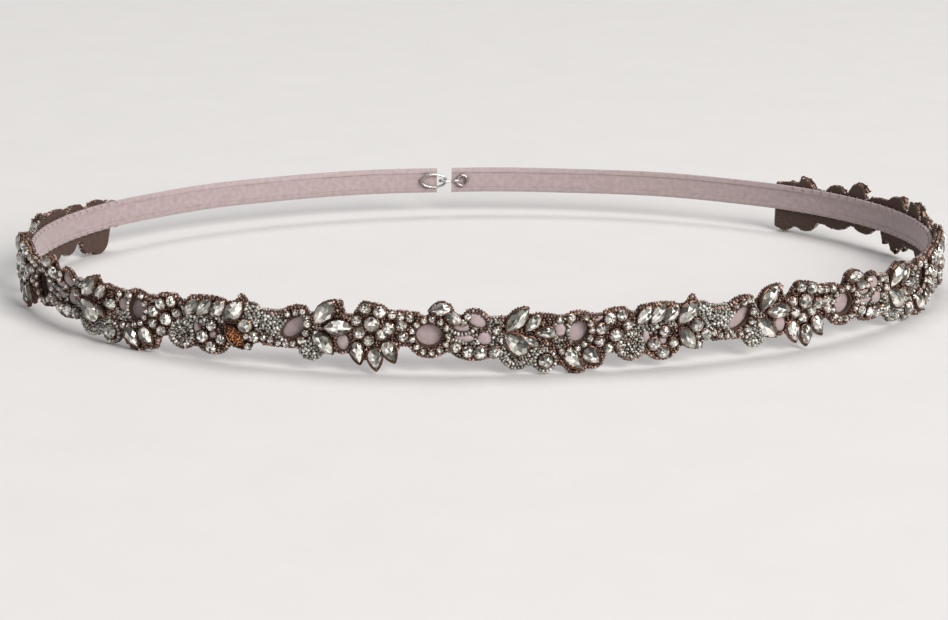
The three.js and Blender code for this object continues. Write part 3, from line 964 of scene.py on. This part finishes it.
def tone_of(tree):
    tone = add_node(tree, "Attribute")
    tone.attribute_name = "tone"
    return tone.outputs["Fac"]


def shaded(color, share):
    return tuple(channel * share for channel in color)


def grained(color, share):
    """Stops for a noise, from a share of a colour up to the colour."""
    return [(0.3, shaded(color, share)), (0.7, color)]


def crystal_material(looks):
    material, tree, shader = new_material(
        "crystal", Metallic=0.3, Roughness=0.1, Coat_Weight=0.8, Coat_Roughness=0.03, IOR=1.55
    )
    light = tuple(looks.crystal_highlight_color)
    # The ramp turns the facets' tones into painted reflections, from dark facets up to the painted
    # highlights' colour.
    stops = [
        (0.0, shaded(light, 0.05)),
        (0.3, (0.13, 0.13, 0.108)),
        (0.55, (0.29, 0.278, 0.245)),
        (0.8, (0.56, 0.535, 0.495)),
        (1.0, light),
    ]
    add_color(tree, shader, tone_of(tree), stops)
    return material


def rose_metal_material(looks):
    """Plated metal: a fine grain is laid over each setting's own tone, as much darker as lighter; the tone
    also carries the painted shade of each cup's foot and inside and the painted highlight of its claws.
    """
    material, tree, shader = new_material("rose_metal", Metallic=0.9, Roughness=0.32)
    metal = tuple(looks.metal_color)
    grain_share = 0.5
    lowered = add_node(tree, "Math")
    lowered.operation = "SUBTRACT"
    lowered.inputs[1].default_value = grain_share / 2
    tree.links.new(tone_of(tree), lowered.inputs[0])
    mix = add_node(tree, "Math")
    mix.operation = "MULTIPLY_ADD"
    mix.inputs[1].default_value = grain_share
    tree.links.new(add_noise(tree, Scale=900, Detail=3), mix.inputs[0])
    tree.links.new(lowered.outputs[0], mix.inputs[2])
    stops = [(0.0, shaded(metal, 0.12)), (0.4, shaded(metal, 0.38)), (1.0, metal)]
    add_color(tree, shader, mix.outputs[0], stops)
    return material


def bead_material(looks):
    """Seed beads: rose ones up to a tone of 0.4, copper ones up to 0.5, and clear ones above."""
    material, tree, shader = new_material(
        "seed_beads", Metallic=0.3, Roughness=0.22, Coat_Weight=0.4, Coat_Roughness=0.08
    )
    metal = tuple(looks.metal_color)
    stops = [
        (0.0, shaded(metal, 0.12)),
        (0.2, shaded(metal, 0.42)),
        (0.40, (0.58, 0.41, 0.35)),
        (0.43, (0.17, 0.045, 0.015)),
        (0.5, (0.66, 0.27, 0.09)),
        (0.55, (0.19, 0.18, 0.155)),
        (0.82, (0.36, 0.342, 0.305)),
        # The lightest clear tone is the colour of the beads' painted glints.
        (1.0, (0.80, 0.775, 0.73)),
    ]
    add_color(tree, shader, tone_of(tree), stops)
    return material


def satin_material(looks):
    """Satin: fine threads across, with a sheen that breaks up a little."""
    material, tree, shader = new_material("satin", Roughness=0.42, Sheen_Weight=0.4, Sheen_Roughness=0.4)
    chart = add_node(tree, "UVMap")
    chart.uv_map = "chart"
    threads = add_node(tree, "TexWave", Scale=40, Distortion=0.6, Detail_Scale=3)
    threads.bands_direction = "Y"
    tree.links.new(chart.outputs["UV"], threads.inputs["Vector"])
    cloud = add_noise(tree, chart.outputs["UV"], Scale=6, Detail=4)
    add_color(tree, shader, cloud, grained(tuple(looks.satin_color), 0.78))
    add_bump(tree, shader, threads.outputs["Fac"], strength=0.25, distance=0.00005)
    return material


def felt_material(looks):
    """The backing's cloth: a close felt with short fibres."""
    material, tree, shader = new_material("backing_felt", Roughness=0.9)
    fibres = add_noise(tree, Scale=1500, Detail=6)
    add_color(tree, shader, fibres, grained(tuple(looks.backing_color), 0.6))
    add_bump(tree, shader, fibres, strength=0.6, distance=0.0001)
    return material


def wire_material(_looks):
    material, tree, shader = new_material("bright_wire", Metallic=1.0, Roughness=0.25)
    stops = [(0.3, (0.42, 0.41, 0.40)), (0.7, (0.66, 0.64, 0.61))]
    add_color(tree, shader, add_noise(tree, Scale=700), stops)
    return material


def thread_material(looks):
    material, tree, shader = new_material("sewing_thread", Roughness=0.7)
    add_color(tree, shader, add_noise(tree, Scale=2500), grained(tuple(looks.thread_color), 0.7))
    return material


def floor_material(looks):
    material, tree, shader = new_material("pale_floor", Roughness=0.95)
    add_color(tree, shader, add_noise(tree, Scale=40), grained(tuple(looks.floor_color), 0.98))
    return material


MATERIALS = {}


def material(name):
    """A material, made once from the looks that are set in the panel."""
    makers = {
        "crystal": crystal_material,
        "rose_metal": rose_metal_material,
        "seed_beads": bead_material,
        "satin": satin_material,
        "felt": felt_material,
        "wire": wire_material,
        "thread": thread_material,
        "floor": floor_material,
    }
    if name not in MATERIALS:
        MATERIALS[name] = makers[name](bpy.context.scene.sash_looks)
    return MATERIALS[name]


# The user's settings


class SashSizes(bpy.types.PropertyGroup):
    tape_step: FloatProperty(
        name="Tape step", description="Length of one step along the tape", default=2 * MM, unit="LENGTH"
    )
    tape_waver: FloatProperty(
        name="Tape waver", description="How far the tape wanders", default=0.15 * MM, unit="LENGTH"
    )
    stone_tilt: FloatProperty(
        name="Stone tilt", description="Usual lean of a stone, in degrees", default=5.0
    )
    chain_spacing: FloatProperty(
        name="Chain spacing", description="Distance between a chain's stones", default=2.2 * MM, unit="LENGTH"
    )
    chain_stone: FloatProperty(
        name="Chain stone", description="Width of a chain's stones", default=1.75 * MM, unit="LENGTH"
    )
    stitch_spacing: FloatProperty(
        name="Stitch spacing", description="Distance between the stitches", default=3.5 * MM, unit="LENGTH"
    )
    wire_diameter: FloatProperty(
        name="Wire", description="Thickness of the hook's and eye's wire", default=0.8 * MM, unit="LENGTH"
    )
    seed: IntProperty(
        name="Seed", description="Start of the stones' and beads' small differences", default=7
    )


class SashLooks(bpy.types.PropertyGroup):
    crystal_highlight_color: FloatVectorProperty(
        name="Crystal", description="Lightest tone of a stone", subtype="COLOR", default=(0.97, 0.945, 0.90)
    )
    metal_color: FloatVectorProperty(
        name="Rose metal", description="Colour of the settings", subtype="COLOR", default=(0.49, 0.265, 0.185)
    )
    satin_color: FloatVectorProperty(
        name="Satin", description="Colour of the tape", subtype="COLOR", default=(0.44, 0.345, 0.348)
    )
    backing_color: FloatVectorProperty(
        name="Backing", description="Colour of the backing", subtype="COLOR", default=(0.085, 0.05, 0.038)
    )
    thread_color: FloatVectorProperty(
        name="Thread", description="Colour of the sewing thread", subtype="COLOR", default=(0.45, 0.33, 0.31)
    )
    floor_color: FloatVectorProperty(
        name="Floor", description="Colour of the floor", subtype="COLOR", default=(0.72, 0.705, 0.70)
    )


# Operators


class SASH_OT_tape(bpy.types.Operator):
    """Make the satin tape that goes once round the waist"""

    bl_idname = "sash.make_tape"
    bl_label = "Tape"

    def execute(self, context):
        sizes = context.scene.sash_sizes
        gap_at_back, hem, end_fold = 5.0, 1.5, 5.0
        end = WAIST.half_round - gap_at_back / 2
        section = self.section(hem)
        chance = random.Random(sizes.seed)
        phases = [chance.uniform(0, 2 * math.pi) for _ in range(3)]
        alongs = np.linspace(-end, end, round(2 * end / (sizes.tape_step / MM)) + 1)
        # The bare tape wavers as three slow waves do, and lies straight under the trim.
        wave_reaches, ease = (23, 9, 41), 20
        waver = sum(np.sin(alongs / reach + phase) for reach, phase in zip(wave_reaches, phases))
        waver *= sizes.tape_waver / MM / 2 * np.clip((np.abs(alongs) - TRIM_REACH) / ease, 0, 1)
        rings = np.array(
            [
                [(along, up + lift, TAPE_OUTER + out) for up, out in section]
                for along, lift in zip(alongs, waver)
            ]
        )
        stock = Stock()
        faces = tube_faces(len(alongs), len(section))
        stock.add(WAIST.bend(rings).reshape(-1, 3), faces, 0.5, rings[..., :2].reshape(-1, 2) * TEXTURE_SCALE)
        piece = stock.make("tape_satin", material("satin"), "satin", smooth=True)
        piece.data.set_sharp_from_angle(angle=math.radians(50))
        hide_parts("tape")
        return {"FINISHED"}

    def section(self, hem):
        """The tape's section as (up, out): a fold lies along each edge inside, and the middle is thinner."""
        half = TAPE_WIDTH / 2
        face, edge_top, edge_low, fold, middle = -0.02, -0.2, -0.78, -0.95, -0.55
        upper = [
            (half / 2, 0.0),
            (half - 0.12, face),
            (half, edge_top),
            (half, edge_low),
            (half - 0.15, fold),
            (half - hem, fold),
            (half - hem - 0.1, middle - 0.05),
        ]
        lower = [(-up, out) for up, out in reversed(upper)]
        return [*lower[-2:], (0, 0.0), *upper, (0, middle), *lower[:-2]]


class SASH_OT_backing(bpy.types.Operator):
    """Make the trim's backing cloth, cut round the stones, with its windows"""

    bl_idname = "sash.make_backing"
    bl_label = "Backing"

    def execute(self, context):
        grid, window_sides = 2.5, 28
        lengths, top, bottom = trim_contour()
        outline = np.concatenate([np.column_stack([lengths, bottom]), np.column_stack([lengths, top])[::-1]])
        holes = []
        for _, motif, _, shift in placed_motifs():
            for window in motif["windows"]:
                rim = cut_outline("round", window["length"], window["width"], window_sides)
                holes.append(turned(rim, window) + (shift, BASE_LINE))
        flat, faces = flat_cut(outline, holes, grid)
        stock = Stock()
        thick_cloth(stock, flat, faces, -BACKING_THICKNESS, 0)
        piece = stock.make("backing_cloth", material("felt"), "backing_cloth")
        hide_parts("backing")
        corners = flat[np.array(faces)]
        sides = corners[:, 1:] - corners[:, :1]
        area = np.abs(np.cross(sides[:, 0], sides[:, 1])).sum() / 2 * MM * MM
        return {"FINISHED"}


def add_dome(stock, piece, shift, height):
    """A padded ellipse that stands on the backing."""
    sides, levels, foot = 24, 5, 0.02
    rings = []
    for level in range(levels):
        turn = level / levels * math.pi / 2
        length, width = piece["length"] * math.cos(turn), piece["width"] * math.cos(turn)
        rim = turned(cut_outline("round", length, width, sides), piece) + (shift, BASE_LINE)
        rings.append(np.column_stack([rim, np.full(sides, foot + height * math.sin(turn))]))
    chart = np.concatenate(rings)
    stock.add(WAIST.bend(chart), tube_faces(levels, sides), 0.5, chart[:, :2] * TEXTURE_SCALE)


class SASH_OT_patches(bpy.types.Operator):
    """Make the bare satin petals between the stones"""

    bl_idname = "sash.make_patches"
    bl_label = "Satin petals"

    def execute(self, context):
        petal_height = 0.45
        stock = Stock()
        for _, motif, _, shift in placed_motifs():
            for patch in motif["patches"]:
                add_dome(stock, patch, shift, petal_height)
        stock.make("petals_satin", material("satin"), "satin", smooth=True)
        return {"FINISHED"}


class SASH_OT_stones(bpy.types.Operator):
    """Make each motif's stones, with the metal settings that hold them"""

    bl_idname = "sash.make_stones"
    bl_label = "Stones and settings"

    def execute(self, context):
        sizes = context.scene.sash_sizes
        spacing, width = sizes.chain_spacing / MM, sizes.chain_stone / MM
        for index, (node, motif, repeat, shift) in enumerate(placed_motifs()):
            chance = random.Random(sizes.seed * 1000 + index)
            stones, settings = Stock(), Stock()
            pieces = list(motif["stones"])
            for row in motif["rows"]:
                if row["kind"] == "chain":
                    spots, _ = row_points(row, spacing)
                    pieces += [stone("chain", *spot, width, turn=chance.uniform(0, 90)) for spot in spots]
            lost = motif["lost"]
            for number, piece in enumerate(pieces):
                seat = Seat(piece, shift, chance, sizes.stone_tilt)
                is_lost = lost.get("repeat") == repeat and lost.get("stone") == number
                add_setting(settings, piece, seat, chance, filled=not is_lost)
                if not is_lost:
                    add_stone(stones, piece, seat, chance)
            stones_piece = stones.make(f"{node}_stones", material("crystal"), "crystal")
            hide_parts(node)
            settings.make(f"{node}_settings", material("rose_metal"), "rose_metal")
        return {"FINISHED"}


class SASH_OT_beads(bpy.types.Operator):
    """Make each motif's rows and clusters of seed beads"""

    bl_idname = "sash.make_beads"
    bl_label = "Seed beads"

    def execute(self, context):
        sizes = context.scene.sash_sizes
        row_sizes, rises, sunk = (0.88, 1.1), {"clear": 0.9, "rose": 0.5}, 0.1
        crumb_share, crumb_rise = 0.8, 0.3
        for index, (node, motif, repeat, shift) in enumerate(placed_motifs()):
            chance = random.Random(sizes.seed * 2000 + index)
            beads = Stock()
            for row in motif["rows"]:
                kind = row["kind"]
                if kind not in BEADS:
                    continue
                bead = BEADS[kind]
                for (along, up), direction in zip(*row_points(row, bead["spacing"])):
                    size = bead["size"] * chance.uniform(*row_sizes)
                    place = (along + shift, up, bead["height"])
                    add_bead(beads, *place, size, direction, chance, bead_tone(kind, chance))
            for heap in motif["clusters"]:
                kind = heap["kind"]
                bead = BEADS[kind]
                for (along, up), dome in zip(*cluster_spots(heap, bead["spacing"])):
                    place = (along + shift, up, bead["height"] - sunk + rises[kind] * dome)
                    tone = bead_tone(kind, chance)
                    add_bead(beads, *place, bead["size"], chance.uniform(*ANY_TURN), chance, tone)
            # Where the stone has fallen out, crumbs of bright copper foil are left in its bed.
            lost = motif["lost"]
            if lost.get("repeat") == repeat:
                bed = motif["stones"][lost["stone"]]
                crumbs = {**bed, "length": bed["length"] * crumb_share, "width": bed["width"] * crumb_share}
                bead = BEADS["ember"]
                for (along, up), dome in zip(*cluster_spots(crumbs, bead["spacing"])):
                    place = (along + shift, up, bead["height"] + crumb_rise * dome)
                    direction = chance.uniform(*ANY_TURN)
                    add_bead(beads, *place, bead["size"], direction, chance, bead_tone("ember", chance))
            beads.make(f"{node}_beads", material("seed_beads"), "bead", smooth=True)
        return {"FINISHED"}


class SASH_OT_filling(bpy.types.Operator):
    """Make the fine beads that cover the backing between the stones and along its edges"""

    bl_idname = "sash.make_filling"
    bl_label = "Fine beads"

    def execute(self, context):
        sizes = context.scene.sash_sizes
        # The share of clear beads in a grey zone, the range of sizes and the heights, on the face and at the
        # edges. The other beads of the face are darkened, as painted shade in the gaps between the stones.
        face_clear, face_sizes, face_height, gap_shade = 0.85, (0.75, 1.0), 0.3, 0.75
        edge_clear, edge_sizes, edge_heights, edge_margin = 0.8, (0.7, 0.95), (-0.65, -0.2), 0.5
        edges = trim_contour()
        motifs = list(placed_motifs())
        middles = [motif["at"] + shift for _, motif, _, shift in motifs]
        bounds = [-math.inf, *((one + next_one) / 2 for one, next_one in zip(middles, middles[1:])), math.inf]
        for index, (node, motif, _, shift) in enumerate(motifs):
            chance = random.Random(sizes.seed * 4000 + index)
            low, high = bounds[index : index + 2]
            near = motifs[max(0, index - 1) : index + 2]
            stock = Stock()
            spots = filling_spots(motif, shift, edges, chance)
            clear = np.ones(len(spots), bool)
            for _, other, _, other_shift in near:
                clear &= clear_of(spots + (shift - other_shift, 0), other)
            for (along, up), is_clear, is_grey in zip(spots, clear, in_grey(spots, shift, near, 0)):
                if not is_clear or not low <= along + shift < high:
                    continue
                kind = "clear" if is_grey and chance.random() < face_clear else "rose"
                size = chance.uniform(*face_sizes)
                place = (along + shift, up, face_height + face_height * chance.random())
                # Rose beads of the face are darkened, as painted shade between the stones.
                tone = bead_tone(kind, chance) * (1 if kind == "clear" else gap_shade)
                add_bead(stock, *place, size, chance.uniform(*ANY_TURN), chance, tone, FILLING_BEAD)
            for along, up in edging_spots(edges, max(low, edges[0][0]), min(high, edges[0][-1])):
                spot = np.array([[along - shift, up - BASE_LINE]])
                is_grey = in_grey(spot, shift, near, edge_margin)[0]
                kind = "clear" if is_grey and chance.random() < edge_clear else "rose"
                size = chance.uniform(*edge_sizes)
                place = (along, up - BASE_LINE, chance.uniform(*edge_heights))
                direction = chance.uniform(*ANY_TURN)
                add_bead(stock, *place, size, direction, chance, bead_tone(kind, chance), FILLING_BEAD)
            if stock.faces:
                stock.make(f"{node}_fine_beads", material("seed_beads"), "bead", smooth=True)
        return {"FINISHED"}


class SASH_OT_stitches(bpy.types.Operator):
    """Make the stitches that hold the backing to the tape's edges"""

    bl_idname = "sash.make_stitches"
    bl_label = "Stitches"

    def execute(self, context):
        sizes = context.scene.sash_sizes
        chance = random.Random(sizes.seed * 3000)
        stock = Stock()
        edge, reach = TAPE_WIDTH / 2, TRIM_REACH - 2
        for side in (-1, 1):
            for along in np.arange(-reach, reach, sizes.stitch_spacing / MM):
                # A slanting stitch over the tape's edge, as (along, up, out).
                slant = chance.uniform(0.5, 0.9)
                path = [
                    (along, side * (edge - 0.9), TAPE_INNER - 0.02),
                    (along + slant * 0.4, side * (edge - 0.3), TAPE_INNER - 0.16),
                    (along + slant * 0.8, side * (edge + 0.14), TAPE_INNER + 0.2),
                    (along + slant, side * (edge + 0.2), TAPE_OUTER),
                ]
                self.thread(stock, path)
        # Each wire loop is held by three stitches over its far end and two over each side.
        over = TAPE_INNER - SEAM_GAP - sizes.wire_diameter / MM - 0.12
        hump = ((-0.75, TAPE_INNER), (-0.35, over), (0.35, over), (0.75, TAPE_INNER))
        for side, far, wide in ((1, WIRE_HOOK_FROM, WIRE_HOOK_WIDTH), (-1, WIRE_EYE_TO, WIRE_EYE_WIDTH)):
            end = WAIST.half_round - abs(far)
            for up in (-0.55, 0.0, 0.55):
                self.thread(stock, [(side * (end + step), up, out) for step, out in hump])
            for up in (-wide / 2 * 0.93, wide / 2 * 0.93):
                for inward in (1.5, 2.1):
                    self.thread(stock, [(side * (end + inward), up + step, out) for step, out in hump])
        stock.make("stitches_thread", material("thread"), "satin", smooth=True)
        return {"FINISHED"}

    def thread(self, stock, path):
        """A short length of thread through chart points."""
        radius, sides, slant = 0.13, 5, (0.3, 0.5, 0.81)
        points = WAIST.bend(path)
        corners = []
        for i, point in enumerate(points):
            ahead = points[min(i + 1, len(points) - 1)] - points[max(i - 1, 0)]
            ahead /= np.linalg.norm(ahead)
            across = np.cross(ahead, slant)
            across /= np.linalg.norm(across)
            third = np.cross(ahead, across)
            for j in range(sides):
                angle = 2 * math.pi * j / sides
                corners.append(point + radius * MM * (across * math.cos(angle) + third * math.sin(angle)))
        stock.add(corners, tube_faces(len(points), sides))


class SASH_OT_hook_and_eye(bpy.types.Operator):
    """Make the wire hook and eye that close the sash at the back"""

    bl_idname = "sash.make_hook_and_eye"
    bl_label = "Hook and eye"

    def execute(self, context):
        diameter = context.scene.sash_sizes.wire_diameter / MM
        wire_out = TAPE_INNER - SEAM_GAP - diameter / 2
        clear = diameter + SEAM_GAP
        eye_from, hook_to = -0.4, -4.2
        # The hook's beak goes round the eye's end, as (across, up, out) beside the centre back.
        tip, reach = 1.5, 0.9
        beak = [
            (hook_to - 0.2, 0, wire_out),
            (eye_from - 2.8, 0, wire_out - 0.3),
            (eye_from - 1, 0, wire_out - clear),
            (tip - 1.1, 0, wire_out - clear - 0.1),
            (tip, 0, wire_out - 0.4),
            (tip, 0, wire_out + 0.6),
            (tip - 1, 0, wire_out + clear),
            (-reach, 0, wire_out + clear + 0.1),
        ]
        eye_loop = self.loop(eye_from, WIRE_EYE_TO, WIRE_EYE_WIDTH, wire_out)
        hook_loop = self.loop(WIRE_HOOK_FROM, hook_to, WIRE_HOOK_WIDTH, wire_out)
        self.wire("eye_wire", [(eye_loop, True)], diameter, "eye")
        self.wire("hook_wire", [(hook_loop, True), (beak, False)], diameter, "hook")
        return {"FINISHED"}

    def loop(self, start, end, width, out):
        """Twelve points round an ellipse of wire."""
        angles = np.arange(12) * 2 * math.pi / 12
        middle, half = (start + end) / 2, (end - start) / 2
        return [(middle + half * math.cos(a), width / 2 * math.sin(a), out) for a in angles]

    def wire(self, name, paths, diameter, node):
        """Bends wire along paths of (across, up, out) beside the centre back."""
        place, ahead, out = WAIST.at(WAIST.half_round)
        curve = bpy.data.curves.new(name, "CURVE")
        curve.dimensions = "3D"
        curve.bevel_depth = diameter / 2 * MM
        curve.bevel_resolution = 3
        curve.use_fill_caps = True
        for path, closed in paths:
            spline = curve.splines.new("BEZIER")
            spline.bezier_points.add(len(path) - 1)
            spline.use_cyclic_u = closed
            for point, (across, up, outward) in zip(spline.bezier_points, path):
                spot = place + ahead * across + out * outward + np.array([0, 0, up])
                point.co = Vector(spot * MM)
                point.handle_left_type = point.handle_right_type = "AUTO"
        shape = bpy.data.objects.new(name, curve)
        bpy.context.scene.collection.objects.link(shape)
        mesh = bpy.data.meshes.new_from_object(shape)
        bpy.data.objects.remove(shape)
        mesh.polygons.foreach_set("use_smooth", [True] * len(mesh.polygons))
        mesh.materials.clear()
        mesh.materials.append(material("wire"))
        piece = bpy.data.objects.new(name, mesh)
        bpy.context.scene.collection.objects.link(piece)
        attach(piece, BODY)
        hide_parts(node)


class SASH_OT_stage(bpy.types.Operator):
    """Set the pale floor, the soft lights and the camera"""

    bl_idname = "sash.set_stage"
    bl_label = "Stage"

    def execute(self, context):
        scene = context.scene
        floor_gap, half = 0.6 * MM, 6.0
        mesh = bpy.data.meshes.new("floor")
        corners = [(-half, -half, 0), (half, -half, 0), (half, half, 0), (-half, half, 0)]
        mesh.from_pydata(corners, [], [(0, 1, 2, 3)])
        mesh.materials.append(material("floor"))
        floor = bpy.data.objects.new("floor", mesh)
        floor.location.z = CAD_BOX[0].z - floor_gap
        scene.collection.objects.link(floor)
        floor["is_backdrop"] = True
        self.light("window", place=(1.65, -2.9, 1.9), size=(2.0, 2.4), power=166, color=(1.0, 0.985, 0.955))
        self.light("fill", place=(-2.6, -1.8, 1.6), size=(1.2, 1.2), power=4, color=(0.97, 0.98, 1.0))
        self.light("overhead", place=(0.0, 1.0, 3.1), size=(2.4, 1.8), power=48, color=(1.0, 0.995, 0.985))
        scene.world = bpy.data.worlds.new("studio")
        scene.world.use_nodes = True
        background = scene.world.node_tree.nodes["Background"]
        background.inputs["Color"].default_value = (0.82, 0.82, 0.82, 1)
        background.inputs["Strength"].default_value = 0.3
        self.camera(scene)
        scene.view_settings.view_transform = "Standard"
        return {"FINISHED"}

    def light(self, name, place, size, power, color):
        """A soft light that looks at the middle of the sash."""
        lamp = bpy.data.lights.new(name, "AREA")
        lamp.shape = "RECTANGLE"
        lamp.size, lamp.size_y = size
        lamp.energy = power
        lamp.color = color
        shown = bpy.data.objects.new(name, lamp)
        shown.location = place
        shown.rotation_euler = (-Vector(place)).to_track_quat("-Z", "Y").to_euler()
        bpy.context.scene.collection.objects.link(shown)

    def camera(self, scene):
        """The camera's place, aim and field, in degrees, metres and pixels of a 948 x 620 picture."""
        azimuth, elevation, roll = (math.radians(angle) for angle in (-9.196, 14.356, 0.870))
        distance, sensor = 0.8, 36
        focal, width, height = 2694.43, 948, 620
        centre_x, centre_y = 487.05, 261.01
        level = math.cos(elevation)
        back = Vector((math.sin(azimuth) * level, -math.cos(azimuth) * level, math.sin(elevation)))
        right = (-back).cross(Vector((0, 0, 1))).normalized()
        up = right.cross(-back)
        rolled_right = math.cos(roll) * right + math.sin(roll) * up
        rolled_up = -math.sin(roll) * right + math.cos(roll) * up
        aim = -back * focal + rolled_right * (width / 2 - centre_x) - rolled_up * (height / 2 - centre_y)
        aim.normalize()
        side = aim.cross(rolled_up).normalized()
        camera = bpy.data.objects.new("camera", bpy.data.cameras.new("camera"))
        camera.data.sensor_width = sensor
        camera.data.lens = focal / width * sensor
        camera.data.clip_start = 0.01
        turn = Matrix((side, side.cross(aim), -aim)).transposed().to_4x4()
        camera.matrix_world = Matrix.Translation(back * distance + Vector((0, 0, BASE_LINE * MM))) @ turn
        scene.collection.objects.link(camera)
        scene.camera = camera


class SASH_PT_panel(bpy.types.Panel):
    """The sash's settings and pieces"""

    bl_label = "Bridal Sash"
    bl_idname = "SASH_PT_panel"
    bl_space_type = "VIEW_3D"
    bl_region_type = "UI"
    bl_category = "Bridal Sash"

    def draw(self, context):
        for group in (context.scene.sash_sizes, context.scene.sash_looks):
            for name in group.__annotations__:
                self.layout.prop(group, name)
        for operator in OPERATORS:
            self.layout.operator(operator.bl_idname)


OPERATORS = (
    SASH_OT_stage,
    SASH_OT_tape,
    SASH_OT_backing,
    SASH_OT_patches,
    SASH_OT_stones,
    SASH_OT_beads,
    SASH_OT_filling,
    SASH_OT_stitches,
    SASH_OT_hook_and_eye,
)
CLASSES = (SashSizes, SashLooks, *OPERATORS, SASH_PT_panel)


def register():
    for each in CLASSES:
        bpy.utils.register_class(each)
    bpy.types.Scene.sash_sizes = PointerProperty(type=SashSizes)
    bpy.types.Scene.sash_looks = PointerProperty(type=SashLooks)


def unregister():
    del bpy.types.Scene.sash_looks
    del bpy.types.Scene.sash_sizes
    for each in reversed(CLASSES):
        bpy.utils.unregister_class(each)


def main():
    register()
    bpy.ops.sash.set_stage()
    bpy.ops.sash.make_tape()
    bpy.ops.sash.make_backing()
    bpy.ops.sash.make_patches()
    bpy.ops.sash.make_stones()
    bpy.ops.sash.make_beads()
    bpy.ops.sash.make_filling()
    bpy.ops.sash.make_stitches()
    bpy.ops.sash.make_hook_and_eye()
    boxes = {"cad": CAD_BOX, "visual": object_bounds()}
    {name: [list(corner) for corner in box] for name, box in boxes.items()}


if __name__ == "__main__":
    main()
